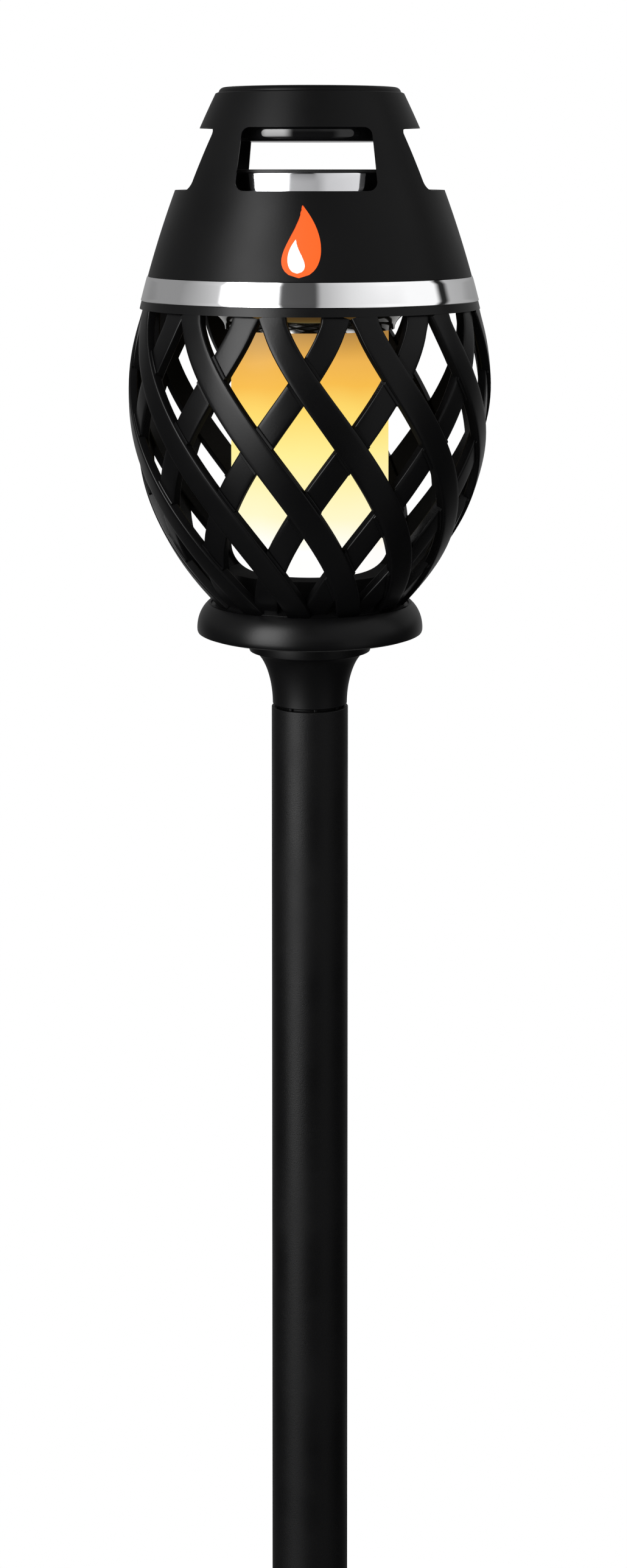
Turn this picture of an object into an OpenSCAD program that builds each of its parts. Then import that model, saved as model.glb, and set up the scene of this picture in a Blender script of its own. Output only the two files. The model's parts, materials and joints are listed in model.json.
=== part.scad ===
// Garden torch with a flame light and a speaker: an egg-shaped head on a three-section pole
// with a ground stake. Millimetres, +Z up. The origin is on the pole's axis at ground level.
// Heights named *_z are measured from the head's own base, unless they say otherwise.

/* [Head outline] */
// Widest diameter of the egg
head_d = 119.6; // [100:0.1:145]
// Diameter of the flat top
top_d = 60; // [48:0.1:72]
// Diameter where the cage stands in the base ring
foot_d = 62.4; // [58:0.1:74]
// Height of the widest point
belly_z = 80; // [66:0.1:96]
// Height of the cage's upper edge
cage_top_z = 110.3; // [94:0.1:134]
// Height of the chrome trim band
band_h = 7.9; // [5:0.1:12]
// Height of the upper shell above the band
shell_h = 61.8; // [56:0.1:76]
// Wall of the upper shell
shell_wall = 2.4; // [1.6:0.1:3]
// Rounding of the top edge
top_fillet = 2; // [0.5:0.1:4]

/* [Handle windows] */
// Distance from the top of the head down to the windows
window_drop = 13.4; // [11:0.1:16]
// Height of the windows
window_h = 20.2; // [16:0.1:22]
// Width of a window along its top edge
window_top_w = 41.6; // [34:0.1:44]
// Width of a window along its bottom edge
window_bottom_w = 44.8; // [36:0.1:46]
// Corner rounding of the windows
window_corner_r = 2.7; // [1:0.1:5]

/* [Lattice cage] */
// Strips that lean each way
strip_count = 12; // [8:1:14]
// Width of a strip
strip_w = 8; // [6:0.1:9]
// Thickness of a strip
strip_t = 3; // [2:0.1:4]
// How far the under strips lie below the over strips
strip_drop = 1.2; // [0.6:0.1:1.8]
// Turn of the strips for each millimetre of height, in degrees
weave_rate = 0.72; // [0.5:0.01:0.9]
// Height of the plain rim above the cells
rim_h = 2.7; // [2:0.1:4]

/* [Base] */
// How far the base ring stands out from the cage's foot
ring_overhang = 6.2; // [5:0.1:9]
// Height of the base ring
ring_h = 9.9; // [8:0.1:12]
// Thickness of the bottom cover
cover_t = 2; // [1.6:0.1:3]
// Diameter of a push button
button_d = 6; // [5:0.1:6.6]
// Travel of a push button
button_travel = 0.5; // [0.3:0.05:0.6]
// Angle between neighbouring buttons
button_pitch = 24; // [22:1:26]
// Width of the charging port's cover
flap_w = 11; // [10:0.1:13]
// Length of the charging port's cover
flap_len = 6.6; // [5.6:0.1:7]

/* [Flame light] */
// Diameter of the frosted diffuser
diffuser_d = 52; // [44:0.1:60]
// Wall of the diffuser
diffuser_wall = 1.8; // [1:0.1:2.5]
// Rounding of the diffuser's lower edge
diffuser_round = 9; // [4:0.1:12]
// Diameter of the tube that carries the lamps
core_d = 30; // [27:0.1:34]
// Lamps around the tube
lamp_columns = 12; // [8:1:14]
// Rows of lamps
lamp_rows = 8; // [4:1:10]
// Diameter of the battery cell
cell_d = 18.4; // [18:0.1:21]
// Length of the battery cell
cell_len = 65; // [60:0.1:70]

/* [Speaker] */
// Outer diameter of the speaker's frame
driver_d = 60; // [52:0.1:64]
// Diameter of the magnet
magnet_d = 38; // [32:0.1:44]
// Diameter of the voice coil
coil_d = 15.8; // [14:0.1:18]
// Height of the chrome ring around the speaker
deck_ring_h = 6.8; // [5:0.1:8]

/* [Pole and stake] */
// Outer diameter of the pole
pole_d = 25.4; // [20:0.1:31]
// Wall of the pole tubes
pole_wall = 1.2; // [0.8:0.1:2]
// Length of one pole section
section_len = 305; // [200:1:400]
// Length of a push-in plug
plug_len = 30; // [24:1:40]
// Height of the adapter between the head and the pole
adapter_h = 24.2; // [20:0.1:34]
// Diameter of the adapter's flange
flange_d = 40.2; // [36:0.1:42]
// Depth of the adapter's plug in the pole
adapter_plug_len = 22; // [16:1:30]
// Diameter of the adapter's thread over its crests
thread_d = 19; // [16:0.1:21]
// Pitch of the adapter's thread
thread_pitch = 3; // [2:0.1:4]
// Length of the stake below ground
stake_len = 170; // [120:1:220]
// Width of the stake's blades
stake_w = 30; // [22:1:40]
// Thickness of the stake's blades
stake_t = 3.2; // [2:0.1:5]
// Diameter of the stake's foot plate
stake_plate_d = 46; // [40:1:60]

/* [Hidden] */

// Facet count of round forms
$fn = 96;

// Fits: parts of one body, pushed-in parts, and parts that move past each other
bond_gap = 0.05;
slip_gap = 0.15;
free_gap = 0.3;

// Ground, pole and head heights above the ground
plate_t = 5;
seat_gap = 0.3;
pole_step = section_len + seat_gap;
lower_pole_h = plate_t + seat_gap;
middle_pole_h = lower_pole_h + pole_step;
upper_pole_h = middle_pole_h + pole_step;
pole_top_h = upper_pole_h + section_len;
adapter_seat = 0.8;
head_h = pole_top_h + adapter_seat + adapter_h;

// Pole fits
pole_r = pole_d / 2;
pole_bore_r = pole_r - pole_wall;
plug_r = pole_bore_r - slip_gap;
pole_rim_r = 0.35;

// Egg outline: a lower arc through the foot and the belly, then a shoulder arc that leaves it
// smoothly and ends at the top's edge
foot_z = 9.6;
foot_r = foot_d / 2;
belly_r = head_d / 2;
top_z = cage_top_z + band_h + shell_h;
belly_arc = ((belly_r - foot_r) ^ 2 + (belly_z - foot_z) ^ 2) / (2 * (belly_r - foot_r));
belly_x = belly_r - belly_arc;
blend_rise = 22;
blend_a = asin(blend_rise / belly_arc);
blend_z = belly_z + blend_rise;
blend_r = belly_x + belly_arc * cos(blend_a);
chord_r = top_d / 2 - blend_r;
chord_z = top_z - blend_z;
shoulder_arc = -(chord_r ^ 2 + chord_z ^ 2)
    / (2 * (chord_r * cos(blend_a) + chord_z * sin(blend_a)));
shoulder_x = blend_r - shoulder_arc * cos(blend_a);
shoulder_z = blend_z - shoulder_arc * sin(blend_a);

function egg_r(z) = z <= blend_z
    ? belly_x + sqrt(belly_arc ^ 2 - (z - belly_z) ^ 2)
    : shoulder_x + sqrt(shoulder_arc ^ 2 - (z - shoulder_z) ^ 2);

// Slope of the outline, 0 where it is upright and positive where it narrows upwards
function egg_slope(z) = z <= blend_z
    ? asin((z - belly_z) / belly_arc)
    : asin((z - shoulder_z) / shoulder_arc);

function egg_line(z0, z1, inset, steps = 16) =
    [for (i = [0:steps]) let (z = z0 + (z1 - z0) * i / steps) [egg_r(z) - inset, z]];

// Points of an arc about c, from angle a0 to a1
function arc_line(c, r, a0, a1, steps = 8) =
    [for (i = [0:steps]) let (a = a0 + (a1 - a0) * i / steps) c + r * [cos(a), sin(a)]];

// Upper stack
band_z = cage_top_z;
shell_z = band_z + band_h;
window_z1 = top_z - window_drop;
window_z0 = window_z1 - window_h;
shelf_h = 1;
shelf_w = 2;
deck_z = window_z0 - 0.9;
deck_ring_gap = 3.5;
deck_ring_z1 = deck_z + deck_ring_h;
deck_ring_r = egg_r(deck_ring_z1) - shell_wall - deck_ring_gap;
deck_ring_flare = 0.8;
deck_ring_wall = 1.2;
grille_t = 0.8;
baffle_t = 2.3;
baffle_r = egg_r(deck_z) - shell_wall - bond_gap;
plug_drop = 4.4;
reflector_z0 = window_z1 - plug_drop;
reflector_z1 = top_z - shell_wall;
reflector_r = egg_r(reflector_z1) - shell_wall - bond_gap;
reflector_wide_r = egg_r(window_z1) - shell_wall - bond_gap;

// Trim band and shell spigot
trim_t = 1.1;
trim_proud = 0.25;
spigot_t = 2;
boss_r = 2.9;
boss_ring_r = egg_r(shell_z) - shell_wall - 1.8;
screw_r = 1.25;
screw_head_r = 2.2;
screw_head_h = 1.4;

// Cage rim, reflector flange
ledge_t = 1.4;
ledge_w = 9;
rim_t = 2.6;
rim_z = cage_top_z - rim_h;
cage_seat_z = rim_z + 0.15;
ring_turn = 1.9;
cage_fn = 72;

// Base stack
ring_r = foot_r + ring_overhang;
ring_bore_r = foot_r + bond_gap + 0.05;
foot_wall = 2.6;
foot_in_r = foot_r - foot_wall;
cover_z = 0.6;
cover_top_z = cover_z + cover_t;
cover_r = ring_bore_r - bond_gap;
keys_r = (flange_d / 2 + foot_in_r) / 2;
key_angles = [for (i = [-2:2]) -90 + i * button_pitch];
screw_angles = [-162, -18, 42, 138];
light_angle = 62;
board_z = 12;
board_t = 1.6;
board_top_z = board_z + board_t;
tray_r = foot_in_r - 1.6;
tray_wall = 1.2;
skirt_t = 0.6;
board_r = tray_r - skirt_t - slip_gap;
tray_z = board_z;
tray_top_z = 20.6;
tray_roof_t = 1.6;
post_r = 2.5;
socket_bore_r = thread_d / 2 + 0.4;
socket_wall = 2.4;
boss_h = 7.2;
socket_top_z = boss_h + 0.6;
switch_w = 4.6;
switch_h = 3.3;
plunger_h = 0.8;
plunger_z = board_z - switch_h - plunger_h;
button_proud = 0.4;
button_r = button_d / 2;
button_flange_r = button_r + 0.9;
button_flange_t = 1;
button_top_z = plunger_z - button_travel - free_gap;

// Adapter
washer_t = 0.8;
washer_z = -0.5;
flange_top_z = washer_z - free_gap;
flange_bottom_z = -6.3;
flange_step = 0.7;
neck_r = pole_r - 0.35;
thread_depth = 1.1;
stud_r = thread_d / 2;
stud_depth = 12;

// Flame light stack
diffuser_r = diffuser_d / 2;
diffuser_top_z = cage_top_z - 9.5;
core_r = core_d / 2;
core_wall = 1.4;
core_top_z = diffuser_top_z - 4;
cell_r = cell_d / 2;
cell_z = tray_top_z + 2.6;
lead_r = 0.6;
lead_ring_r = (core_r - core_wall + cell_r) / 2;

// Speaker stack, measured down from the deck
driver_r = driver_d / 2;
driver_flange_t = 1.5;
basket_wall = 1;
basket_mouth_r = driver_r - 4.6;
basket_seat_z = deck_z - 11;
top_plate_z = basket_seat_z - 3.2;
top_plate_t = 2;
magnet_t = 9;
magnet_r = magnet_d / 2;
magnet_z = top_plate_z - magnet_t;
yoke_t = 2.5;
coil_r = coil_d / 2;
coil_t = 0.6;
coil_gap = 0.5;

function unit(v) = v / norm(v);

module on_head() translate([0, 0, head_h]) children();

// A closed solid through rings of points, all with the same number of points
module ring_solid(rings) {
    n = len(rings);
    m = len(rings[0]);
    sides = [for (i = [0:n - 2]) each [for (k = [0:m - 1]) let (
            a = m * i + k,
            b = m * i + (k + 1) % m)
        each [[a, b, b + m], [a, b + m, a + m]]]];
    bottom = [for (k = [m - 1:-1:0]) k];
    top = [for (k = [0:m - 1]) m * (n - 1) + k];
    polyhedron([for (ring = rings) each ring], concat([bottom], sides, [top]), convexity = 8);
}

module around(angles, r) {
    for (a = angles) rotate([0, 0, a]) translate([r, 0, 0]) children();
}

module tube(r, bore, h) {
    difference() {
        cylinder(r = r, h = h);
        translate([0, 0, -1]) cylinder(r = bore, h = h + 2);
    }
}

// ---- Upper shell and handle ----

module window_outline() {
    w0 = window_bottom_w / 2 - window_corner_r;
    w1 = window_top_w / 2 - window_corner_r;
    z0 = window_z0 + window_corner_r;
    z1 = window_z1 - window_corner_r;
    polygon(concat(
        arc_line([w0, z0], window_corner_r, -90, 4, 5),
        arc_line([w1, z1], window_corner_r, 4, 90, 5),
        arc_line([-w1, z1], window_corner_r, 90, 176, 5),
        arc_line([-w0, z0], window_corner_r, 176, 270, 5)));
}

module upper_shell() {
    spigot_r = egg_r(shell_z) - trim_t - bond_gap;
    color("#151515") on_head() difference() {
        union() {
            rotate_extrude() polygon(concat(
                egg_line(shell_z, top_z - top_fillet, 0, 20),
                arc_line([egg_r(top_z) - top_fillet, top_z - top_fillet], top_fillet, 15, 90, 6),
                [[0, top_z], [0, top_z - shell_wall]],
                egg_line(top_z - shell_wall, deck_z + shelf_h, shell_wall, 16),
                [[egg_r(deck_z) - shell_wall - shelf_w, deck_z + shelf_h]],
                [[egg_r(deck_z) - shell_wall - shelf_w, deck_z]],
                egg_line(deck_z, shell_z, shell_wall, 8),
                [[spigot_r - spigot_t, shell_z], [spigot_r - spigot_t, band_z]],
                [[spigot_r, band_z], [spigot_r, shell_z]]));
            around([45, 135, 225, 315], boss_ring_r)
                translate([0, 0, band_z]) cylinder(r = boss_r, h = 12, $fn = 32);
        }
        for (a = [0, 90]) rotate([90, 0, a])
            translate([0, 0, -belly_r]) linear_extrude(2 * belly_r) window_outline();
        around([45, 135, 225, 315], boss_ring_r)
            translate([0, 0, band_z - 1]) cylinder(r = screw_r + bond_gap, h = 10, $fn = 32);
    }
}

module sound_reflector() {
    r = reflector_wide_r - 3;
    edge = 1.7;
    wall = 2;
    color("#0a0a0a") on_head() rotate_extrude() polygon(concat(
        [[0, reflector_z0 + wall], [0, reflector_z0]],
        arc_line([r - edge, reflector_z0 + edge], edge, -90, 0, 6),
        [[r, window_z1], [reflector_r, reflector_z1], [reflector_r - wall, reflector_z1],
        [r - wall, window_z1], [r - wall, reflector_z0 + 2 * wall],
        [r - 2 * wall, reflector_z0 + wall]]));
}

module trim_band() {
    color("#d8d8dc") on_head() rotate_extrude() polygon(concat(
        egg_line(band_z, shell_z, -trim_proud, 6),
        [[egg_r(shell_z) - trim_t, shell_z], [egg_r(shell_z) - trim_t, band_z]]));
}

// ---- Speaker ----

module deck_ring() {
    r = deck_ring_r;
    color("#d8d8dc") on_head() rotate_extrude() polygon([
        [r + deck_ring_flare, deck_z], [r, deck_ring_z1 - 0.6], [r - 0.5, deck_ring_z1],
        [r - deck_ring_wall - 1, deck_ring_z1], [r - deck_ring_wall - 1, deck_ring_z1 - 1],
        [r + deck_ring_flare - deck_ring_wall, deck_z]]);
}

module speaker_grille() {
    hole_r = 1.3;
    color("#1a1a1a") on_head() translate([0, 0, deck_ring_z1]) linear_extrude(grille_t)
        difference() {
            circle(r = deck_ring_r - 0.8);
            for (ring = [1:6]) for (i = [0:ring * 6 - 1])
                rotate(i * 60 / ring) translate([ring * 4.6, 0]) circle(r = hole_r, $fn = 16);
        }
}

module speaker_baffle() {
    color("#1c1c1c") on_head() difference() {
        translate([0, 0, deck_z - baffle_t]) cylinder(r = baffle_r, h = baffle_t);
        translate([0, 0, deck_z - baffle_t - 1])
            cylinder(r = basket_mouth_r + basket_wall + free_gap, h = baffle_t + 2);
        around([45, 135, 225, 315], driver_r - 2)
            translate([0, 0, deck_z - baffle_t - 1]) cylinder(r = 1.05, h = 5, $fn = 24);
    }
}

module driver_basket() {
    seat_r = magnet_r - 1;
    color("#2a2a2c") on_head() difference() {
        rotate_extrude() polygon([
            [driver_r, deck_z], [driver_r, deck_z + driver_flange_t],
            [basket_mouth_r, deck_z + driver_flange_t], [basket_mouth_r, deck_z - 1],
            [seat_r - 1.5, basket_seat_z + 2], [seat_r - 3.2, basket_seat_z + 2],
            [seat_r - 3.2, basket_seat_z], [coil_r + 3, basket_seat_z],
            [coil_r + 3, basket_seat_z - 1.2], [seat_r, basket_seat_z - 1.2],
            [seat_r, basket_seat_z + 2], [basket_mouth_r + basket_wall, deck_z - 1.6],
            [basket_mouth_r + basket_wall, deck_z]]);
        around([0, 90, 180, 270], 0) translate([seat_r + 0.8, -5, basket_seat_z + 2.6])
            cube([6, 10, 5.2]);
        around([45, 135, 225, 315], driver_r - 2)
            translate([0, 0, deck_z - 1]) cylinder(r = screw_r, h = 4, $fn = 24);
    }
}

module driver_top_plate() {
    color("#8f9296") on_head() translate([0, 0, top_plate_z])
        tube(magnet_r - 1, coil_r + coil_gap, top_plate_t);
}

module driver_magnet() {
    color("#3b3b3e") on_head() translate([0, 0, magnet_z]) tube(magnet_r, coil_r + 3, magnet_t);
}

module driver_yoke() {
    color("#8f9296") on_head() {
        translate([0, 0, magnet_z - yoke_t]) cylinder(r = magnet_r - 1, h = yoke_t);
        translate([0, 0, magnet_z]) cylinder(r = coil_r - coil_t - coil_gap,
            h = top_plate_z + top_plate_t - magnet_z);
    }
}

module voice_coil() {
    color("#b5763a") on_head() translate([0, 0, top_plate_z - 3])
        tube(coil_r, coil_r - coil_t, deck_z - 7.4 - (top_plate_z - 3));
}

module speaker_cone() {
    z0 = deck_z - 7.4;
    z1 = deck_z + driver_flange_t;
    rim_r = basket_mouth_r - 3.6;
    color("#26262a") on_head() rotate_extrude() polygon([
        [coil_r - coil_t, z0], [coil_r + 0.6, z0], [rim_r, z1 - 1.2], [rim_r + 1.4, z1 - 0.7],
        [rim_r + 1.4, z1], [rim_r + 0.2, z1], [coil_r - coil_t, z0 + 1]]);
}

module dust_cap() {
    r = coil_r + 0.8;
    rise = 3;
    ball = (r ^ 2 + rise ^ 2) / (2 * rise);
    a = asin(r / ball);
    z = deck_z - 7.4 + 2.1;
    color("#1b1b1e") on_head() translate([0, 0, z]) rotate_extrude() polygon(concat(
        arc_line([0, rise - ball], ball, 90 - a, 90, 8),
        arc_line([0, rise - ball], ball - 0.5, 90, 90 - a, 8)));
}

module cone_surround() {
    lip_r = basket_mouth_r - 3.2;
    mid_r = basket_mouth_r - 1.1;
    roll_r = 1.6;
    skin = 0.45;
    z = deck_z + driver_flange_t;
    color("#101012") on_head() rotate_extrude() polygon(concat(
        [[lip_r, z], [lip_r, z + skin]],
        arc_line([mid_r, z], roll_r, 163, 0, 10),
        arc_line([mid_r, z], roll_r - skin, 0, 180, 10)));
}

module cone_spider() {
    r0 = coil_r + bond_gap;
    r1 = magnet_r - 2.6;
    z = basket_seat_z + 2;
    waves = 3;
    steps = 24;
    depth = 0.5;
    line = [for (i = [0:steps]) [r0 + (r1 - r0) * i / steps,
        z + 0.1 + depth - depth * cos(360 * waves * i / steps)]];
    color("#a58a4a") on_head() rotate_extrude() polygon(concat(
        line, [for (i = [steps:-1:0]) line[i] + [0, 0.4]]));
}

module driver_screws() {
    color("#9a9a9e") on_head() around([45, 135, 225, 315], driver_r - 2) {
        translate([0, 0, deck_z + driver_flange_t])
            cylinder(r = 1.9, h = screw_head_h, $fn = 32);
        translate([0, 0, deck_z - baffle_t + 0.3])
            cylinder(r = 1, h = baffle_t + driver_flange_t, $fn = 24);
    }
}

// A round wire along points in the XZ plane, mitred at its bends
module wire(points, r) {
    sides = 8;
    last = len(points) - 1;
    rings = [for (i = [0:last]) let (
            before = unit(points[max(i, 1)] - points[max(i, 1) - 1]),
            after = unit(points[min(i + 1, last)] - points[min(i, last - 1)]),
            t = unit(before + after),
            side = [t[2], 0, -t[0]] / (t * after))
        [for (k = [0:sides - 1]) let (a = -k * 360 / sides)
            points[i] + r * (cos(a) * side + sin(a) * [0, 1, 0])]];
    ring_solid(rings);
}

module speaker_leads() {
    r1 = magnet_r + 1.6;
    color("#b02020") on_head() for (a = [30, 150]) rotate([0, 0, a]) wire([
        [lead_ring_r, 0, board_top_z + 0.8], [lead_ring_r, 0, diffuser_top_z - 2],
        [r1, 0, magnet_z - 6], [r1, 0, basket_seat_z - 2]], lead_r);
}

// ---- Lattice cage ----

// Turn of a strip's centre line, counted down from just under the trim band
function weave_turn(z) =
    let (u = cage_top_z - 1.6 - z) weave_rate * u - 5.2 * (1 - exp(-max(u, 0) / 10));

// Middle of a strip's section at height z; lean is 1 for an over strip and -1 for an under strip
function strip_point(z, start, lean, depth) =
    let (a = -90 + lean * (start + weave_turn(z)), s = egg_slope(z), r = egg_r(z) - depth * cos(s))
    [r * cos(a), r * sin(a), z - depth * sin(s)];

// Four corners of a strip's section at height z
function strip_section(z, start, lean, depth, w, t = strip_t) =
    let (
        p = strip_point(z, start, lean, depth),
        along = unit(strip_point(z + 0.5, start, lean, depth)
            - strip_point(z - 0.5, start, lean, depth)),
        a = -90 + lean * (start + weave_turn(z)),
        s = egg_slope(z),
        n = [cos(s) * cos(a), cos(s) * sin(a), sin(s)],
        b = unit(cross(along, n)))
    [for (q = [[-1, -1], [-1, 1], [1, 1], [1, -1]]) p + q[0] * n * t / 2 + q[1] * b * w / 2];

// A strip runs from the foot to the rim, and its root widens a little into the rim
module strip(start, lean, depth) {
    z0 = foot_z - 0.4;
    root_z = cage_top_z - rim_h - 3;
    steps = 10;
    ring_solid([for (i = [0:steps])
        strip_section(z0 + (root_z + 1 - z0) * i / steps, start, lean, depth, strip_w)]);
    hull() {
        ring_solid([
            strip_section(root_z, start, lean, depth, strip_w + 0.3, strip_t - 0.3),
            strip_section(root_z + 0.3, start, lean, depth, strip_w + 0.3, strip_t - 0.3)]);
        ring_solid([
            strip_section(rim_z + 0.4, start, lean, depth, strip_w + 1.2, strip_t - 0.3),
            strip_section(rim_z + 1.1, start, lean, depth, strip_w + 1.2, strip_t - 0.3)]);
    }
}

module lattice_cage() {
    pitch = 360 / strip_count;
    start = -10.6;
    screws = [45, 135, 225, 315];
    color("#161616") on_head() difference() {
        union() {
            for (i = [0:strip_count - 1]) {
                strip(start + i * pitch, 1, strip_t / 2);
                strip(start + i * pitch, -1, strip_t / 2 + strip_drop);
            }
            rotate([0, 0, ring_turn]) rotate_extrude($fn = cage_fn) polygon(concat(
                egg_line(rim_z, cage_top_z, 0, 2),
                [[egg_r(cage_top_z) - rim_t, cage_top_z],
                [egg_r(rim_z) - rim_t, rim_z + ledge_t],
                [egg_r(rim_z) - ledge_w, rim_z + ledge_t], [egg_r(rim_z) - ledge_w, rim_z]]));
            rotate([0, 0, ring_turn]) rotate_extrude($fn = cage_fn) polygon([
                [foot_in_r, cover_top_z], [foot_r, cover_top_z], [foot_r, foot_z + 0.5],
                [foot_in_r, foot_z + 2.8]]);
        }
        around(screws, boss_ring_r)
            translate([0, 0, rim_z - 2]) cylinder(r = screw_r + bond_gap, h = 5, $fn = 24);
        around(screws, boss_ring_r) translate([0, 0, cage_seat_z - screw_head_h - 3])
            cylinder(r = screw_head_r + 0.3, h = screw_head_h + 3, $fn = 24);
    }
}

module cage_screws() {
    color("#3a3a3c") on_head() around([45, 135, 225, 315], boss_ring_r) {
        translate([0, 0, cage_seat_z - screw_head_h])
            cylinder(r = screw_head_r, h = screw_head_h, $fn = 32);
        translate([0, 0, cage_seat_z - 0.1]) cylinder(r = screw_r, h = 11, $fn = 32);
    }
}

module glow_reflector() {
    r1 = egg_r(cage_top_z) - rim_t - bond_gap;
    r0 = diffuser_r + 2;
    lip_r = diffuser_r - 3;
    bowl_r = egg_r(rim_z) - ledge_w - 1.2;
    z1 = rim_z + ledge_t;
    z0 = diffuser_top_z;
    t = 1.2;
    steps = 12;
    bowl = [for (i = [0:steps]) let (a = 90 * i / steps)
        [r0 + (bowl_r - r0) * (1 - cos(a)), z0 + (z1 - z0) * sin(a)]];
    color("#c8c8cc") on_head() difference() {
        rotate_extrude() polygon(concat(
            [[lip_r, z0]], bowl, [[r1, z1], [r1, cage_top_z], [bowl_r, cage_top_z]],
            [for (i = [steps - 1:-1:1]) bowl[i] + [-t / 2, t]], [[lip_r, z0 + t]]));
        around([45, 135, 225, 315], boss_ring_r)
            translate([0, 0, z1 - 1]) cylinder(r = screw_r + bond_gap, h = 5, $fn = 24);
    }
}

// ---- Flame light ----

module flame_diffuser() {
    r = diffuser_r;
    w = diffuser_wall;
    q = diffuser_round;
    z0 = tray_top_z;
    z1 = diffuser_top_z;
    hole_r = core_r + 1.5;
    color("#f0a83c") on_head() rotate_extrude() polygon(concat(
        [[hole_r, z0]],
        arc_line([r - q, z0 + q], q, -90, 0, 10),
        [[r, z1], [r - w, z1]],
        arc_line([r - q, z0 + q], q - w, 0, -90, 10),
        [[hole_r, z0 + w]]));
}

module lamp_core() {
    color("#e8e8e4") on_head() translate([0, 0, tray_top_z])
        tube(core_r, core_r - core_wall, core_top_z - tray_top_z);
}

module lamp_board() {
    color("#1f5a34") on_head() translate([0, 0, tray_top_z + 5])
        tube(core_r + 0.4 + bond_gap, core_r + bond_gap, core_top_z - tray_top_z - 8);
}

module flame_lamps() {
    z0 = tray_top_z + 9;
    step = (core_top_z - 7 - z0) / (lamp_rows - 1);
    lamp = 2.8;
    color("#ffd27a") on_head() for (row = [0:lamp_rows - 1])
        around([for (i = [0:lamp_columns - 1]) (i + 0.5 * (row % 2)) * 360 / lamp_columns],
            core_r + 0.4 + 2 * bond_gap)
            translate([0, -lamp / 2, z0 + row * step - lamp / 2]) cube([0.9, lamp, lamp]);
}

module battery_cell() {
    color("#2e6fb0") on_head() translate([0, 0, cell_z]) {
        cylinder(r = cell_r, h = cell_len);
        translate([0, 0, cell_len]) cylinder(r = 3, h = 1, $fn = 32);
    }
}

module battery_cradle() {
    wall = 1.2;
    cup_h = 6;
    rib_r = core_r - core_wall - bond_gap;
    color("#222222") on_head() for (top = [0, 1])
        translate([0, 0, cell_z - 1.6 + top * (cell_len + 3 - cup_h + 1.6)]) difference() {
            union() {
                cylinder(r = cell_r + bond_gap + wall, h = cup_h);
                for (a = [90, 210, 330]) rotate([0, 0, a]) translate([0, -1.2, 0])
                    cube([rib_r - 0.1, 2.4, cup_h]);
            }
            translate([0, 0, top ? -1 : 1.6])
                cylinder(r = cell_r + bond_gap, h = top ? cup_h - 0.6 : cup_h);
            translate([0, 0, -2]) cylinder(r = 3.4, h = cup_h + 4, $fn = 32);
        }
}

// ---- Base ----

module base_tray() {
    color("#1e1e1e") on_head() difference() {
        union() {
            rotate_extrude() polygon([
                [tray_r, tray_z], [tray_r, tray_top_z], [0, tray_top_z],
                [0, tray_top_z - tray_roof_t], [tray_r - tray_wall, tray_top_z - tray_roof_t],
                [tray_r - tray_wall, board_top_z], [tray_r - skirt_t, board_top_z],
                [tray_r - skirt_t, tray_z]]);
            around(screw_angles, keys_r) translate([0, 0, board_top_z])
                cylinder(r = post_r, h = tray_top_z - tray_roof_t - board_top_z + 0.5, $fn = 32);
        }
        around(screw_angles, keys_r) translate([0, 0, board_top_z - 1])
            cylinder(r = screw_r, h = 6, $fn = 24);
        around([30, 150], lead_ring_r) translate([0, 0, tray_top_z - 4])
            cylinder(r = lead_r + 0.4, h = 8, $fn = 24);
    }
}

module main_board() {
    color("#1f5a34") on_head() difference() {
        translate([0, 0, board_z]) cylinder(r = board_r, h = board_t);
        around(screw_angles, keys_r) translate([0, 0, board_z - 1])
            cylinder(r = screw_r + 0.1, h = 4, $fn = 24);
    }
}

module board_parts() {
    color("#2b2b2e") on_head() translate([0, 0, board_top_z]) {
        translate([-16, -4, 0]) cube([7, 7, 1.2]);
        translate([9, -12, 0]) cube([5, 4, 1.1]);
        translate([-6, -17, 0]) cube([4, 6, 1.1]);
        translate([2, 9, 0]) cube([6, 6, 3]);
        translate([12, -4, 0]) cylinder(r = 2.5, h = 4.6, $fn = 32);
        translate([17, 3, 0]) cylinder(r = 2, h = 4.2, $fn = 32);
        translate([-8, 12, 0]) cylinder(r = 2.5, h = 4.6, $fn = 32);
    }
}

module radio_module() {
    color("#b9bcc0") on_head() translate([-3, -9, board_top_z]) cube([12, 10, 2.2]);
}

module charging_socket() {
    w = 7.6;
    d = 2.8;
    wall = 0.4;
    z0 = cover_top_z + 2.2;
    color("#c4c6c9") on_head() translate([-w / 2, keys_r - d / 2, 0]) difference() {
        translate([0, 0, z0]) cube([w, d, board_z - z0]);
        translate([wall, wall, z0 - 1]) cube([w - 2 * wall, 0.7, 5]);
        translate([wall, d - wall - 0.7, z0 - 1]) cube([w - 2 * wall, 0.7, 5]);
    }
}

module tact_switches() {
    color("#3c3c40") on_head() around(key_angles, keys_r) {
        translate([-switch_w / 2, -switch_w / 2, board_z - switch_h])
            cube([switch_w, switch_w, switch_h]);
        translate([0, 0, plunger_z]) cylinder(r = 1.2, h = plunger_h, $fn = 32);
    }
}

module base_ring() {
    dome_w = 8.4;
    dome_h = 10.2;
    dome_z = 1.5;
    x = ring_r - dome_w;
    steps = 14;
    end = asin((ring_h - dome_z) / dome_h);
    color("#191919") on_head() rotate_extrude() polygon(concat(
        [[ring_bore_r, 0], [ring_r - 4.8, 0], [ring_r - 4.8, 1], [ring_r - 1.8, 1],
        [ring_r - 1.8, 0], [ring_r - 0.5, 0], [ring_r - 0.1, 0.6]],
        [for (i = [0:steps]) let (a = end * i / steps)
            [x + dome_w * cos(a), dome_z + dome_h * sin(a)]],
        [[ring_bore_r + 1.6, ring_h - 0.1], [ring_bore_r + 1.4, ring_h - 0.7],
        [ring_bore_r, ring_h - 0.7]]));
}

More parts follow.
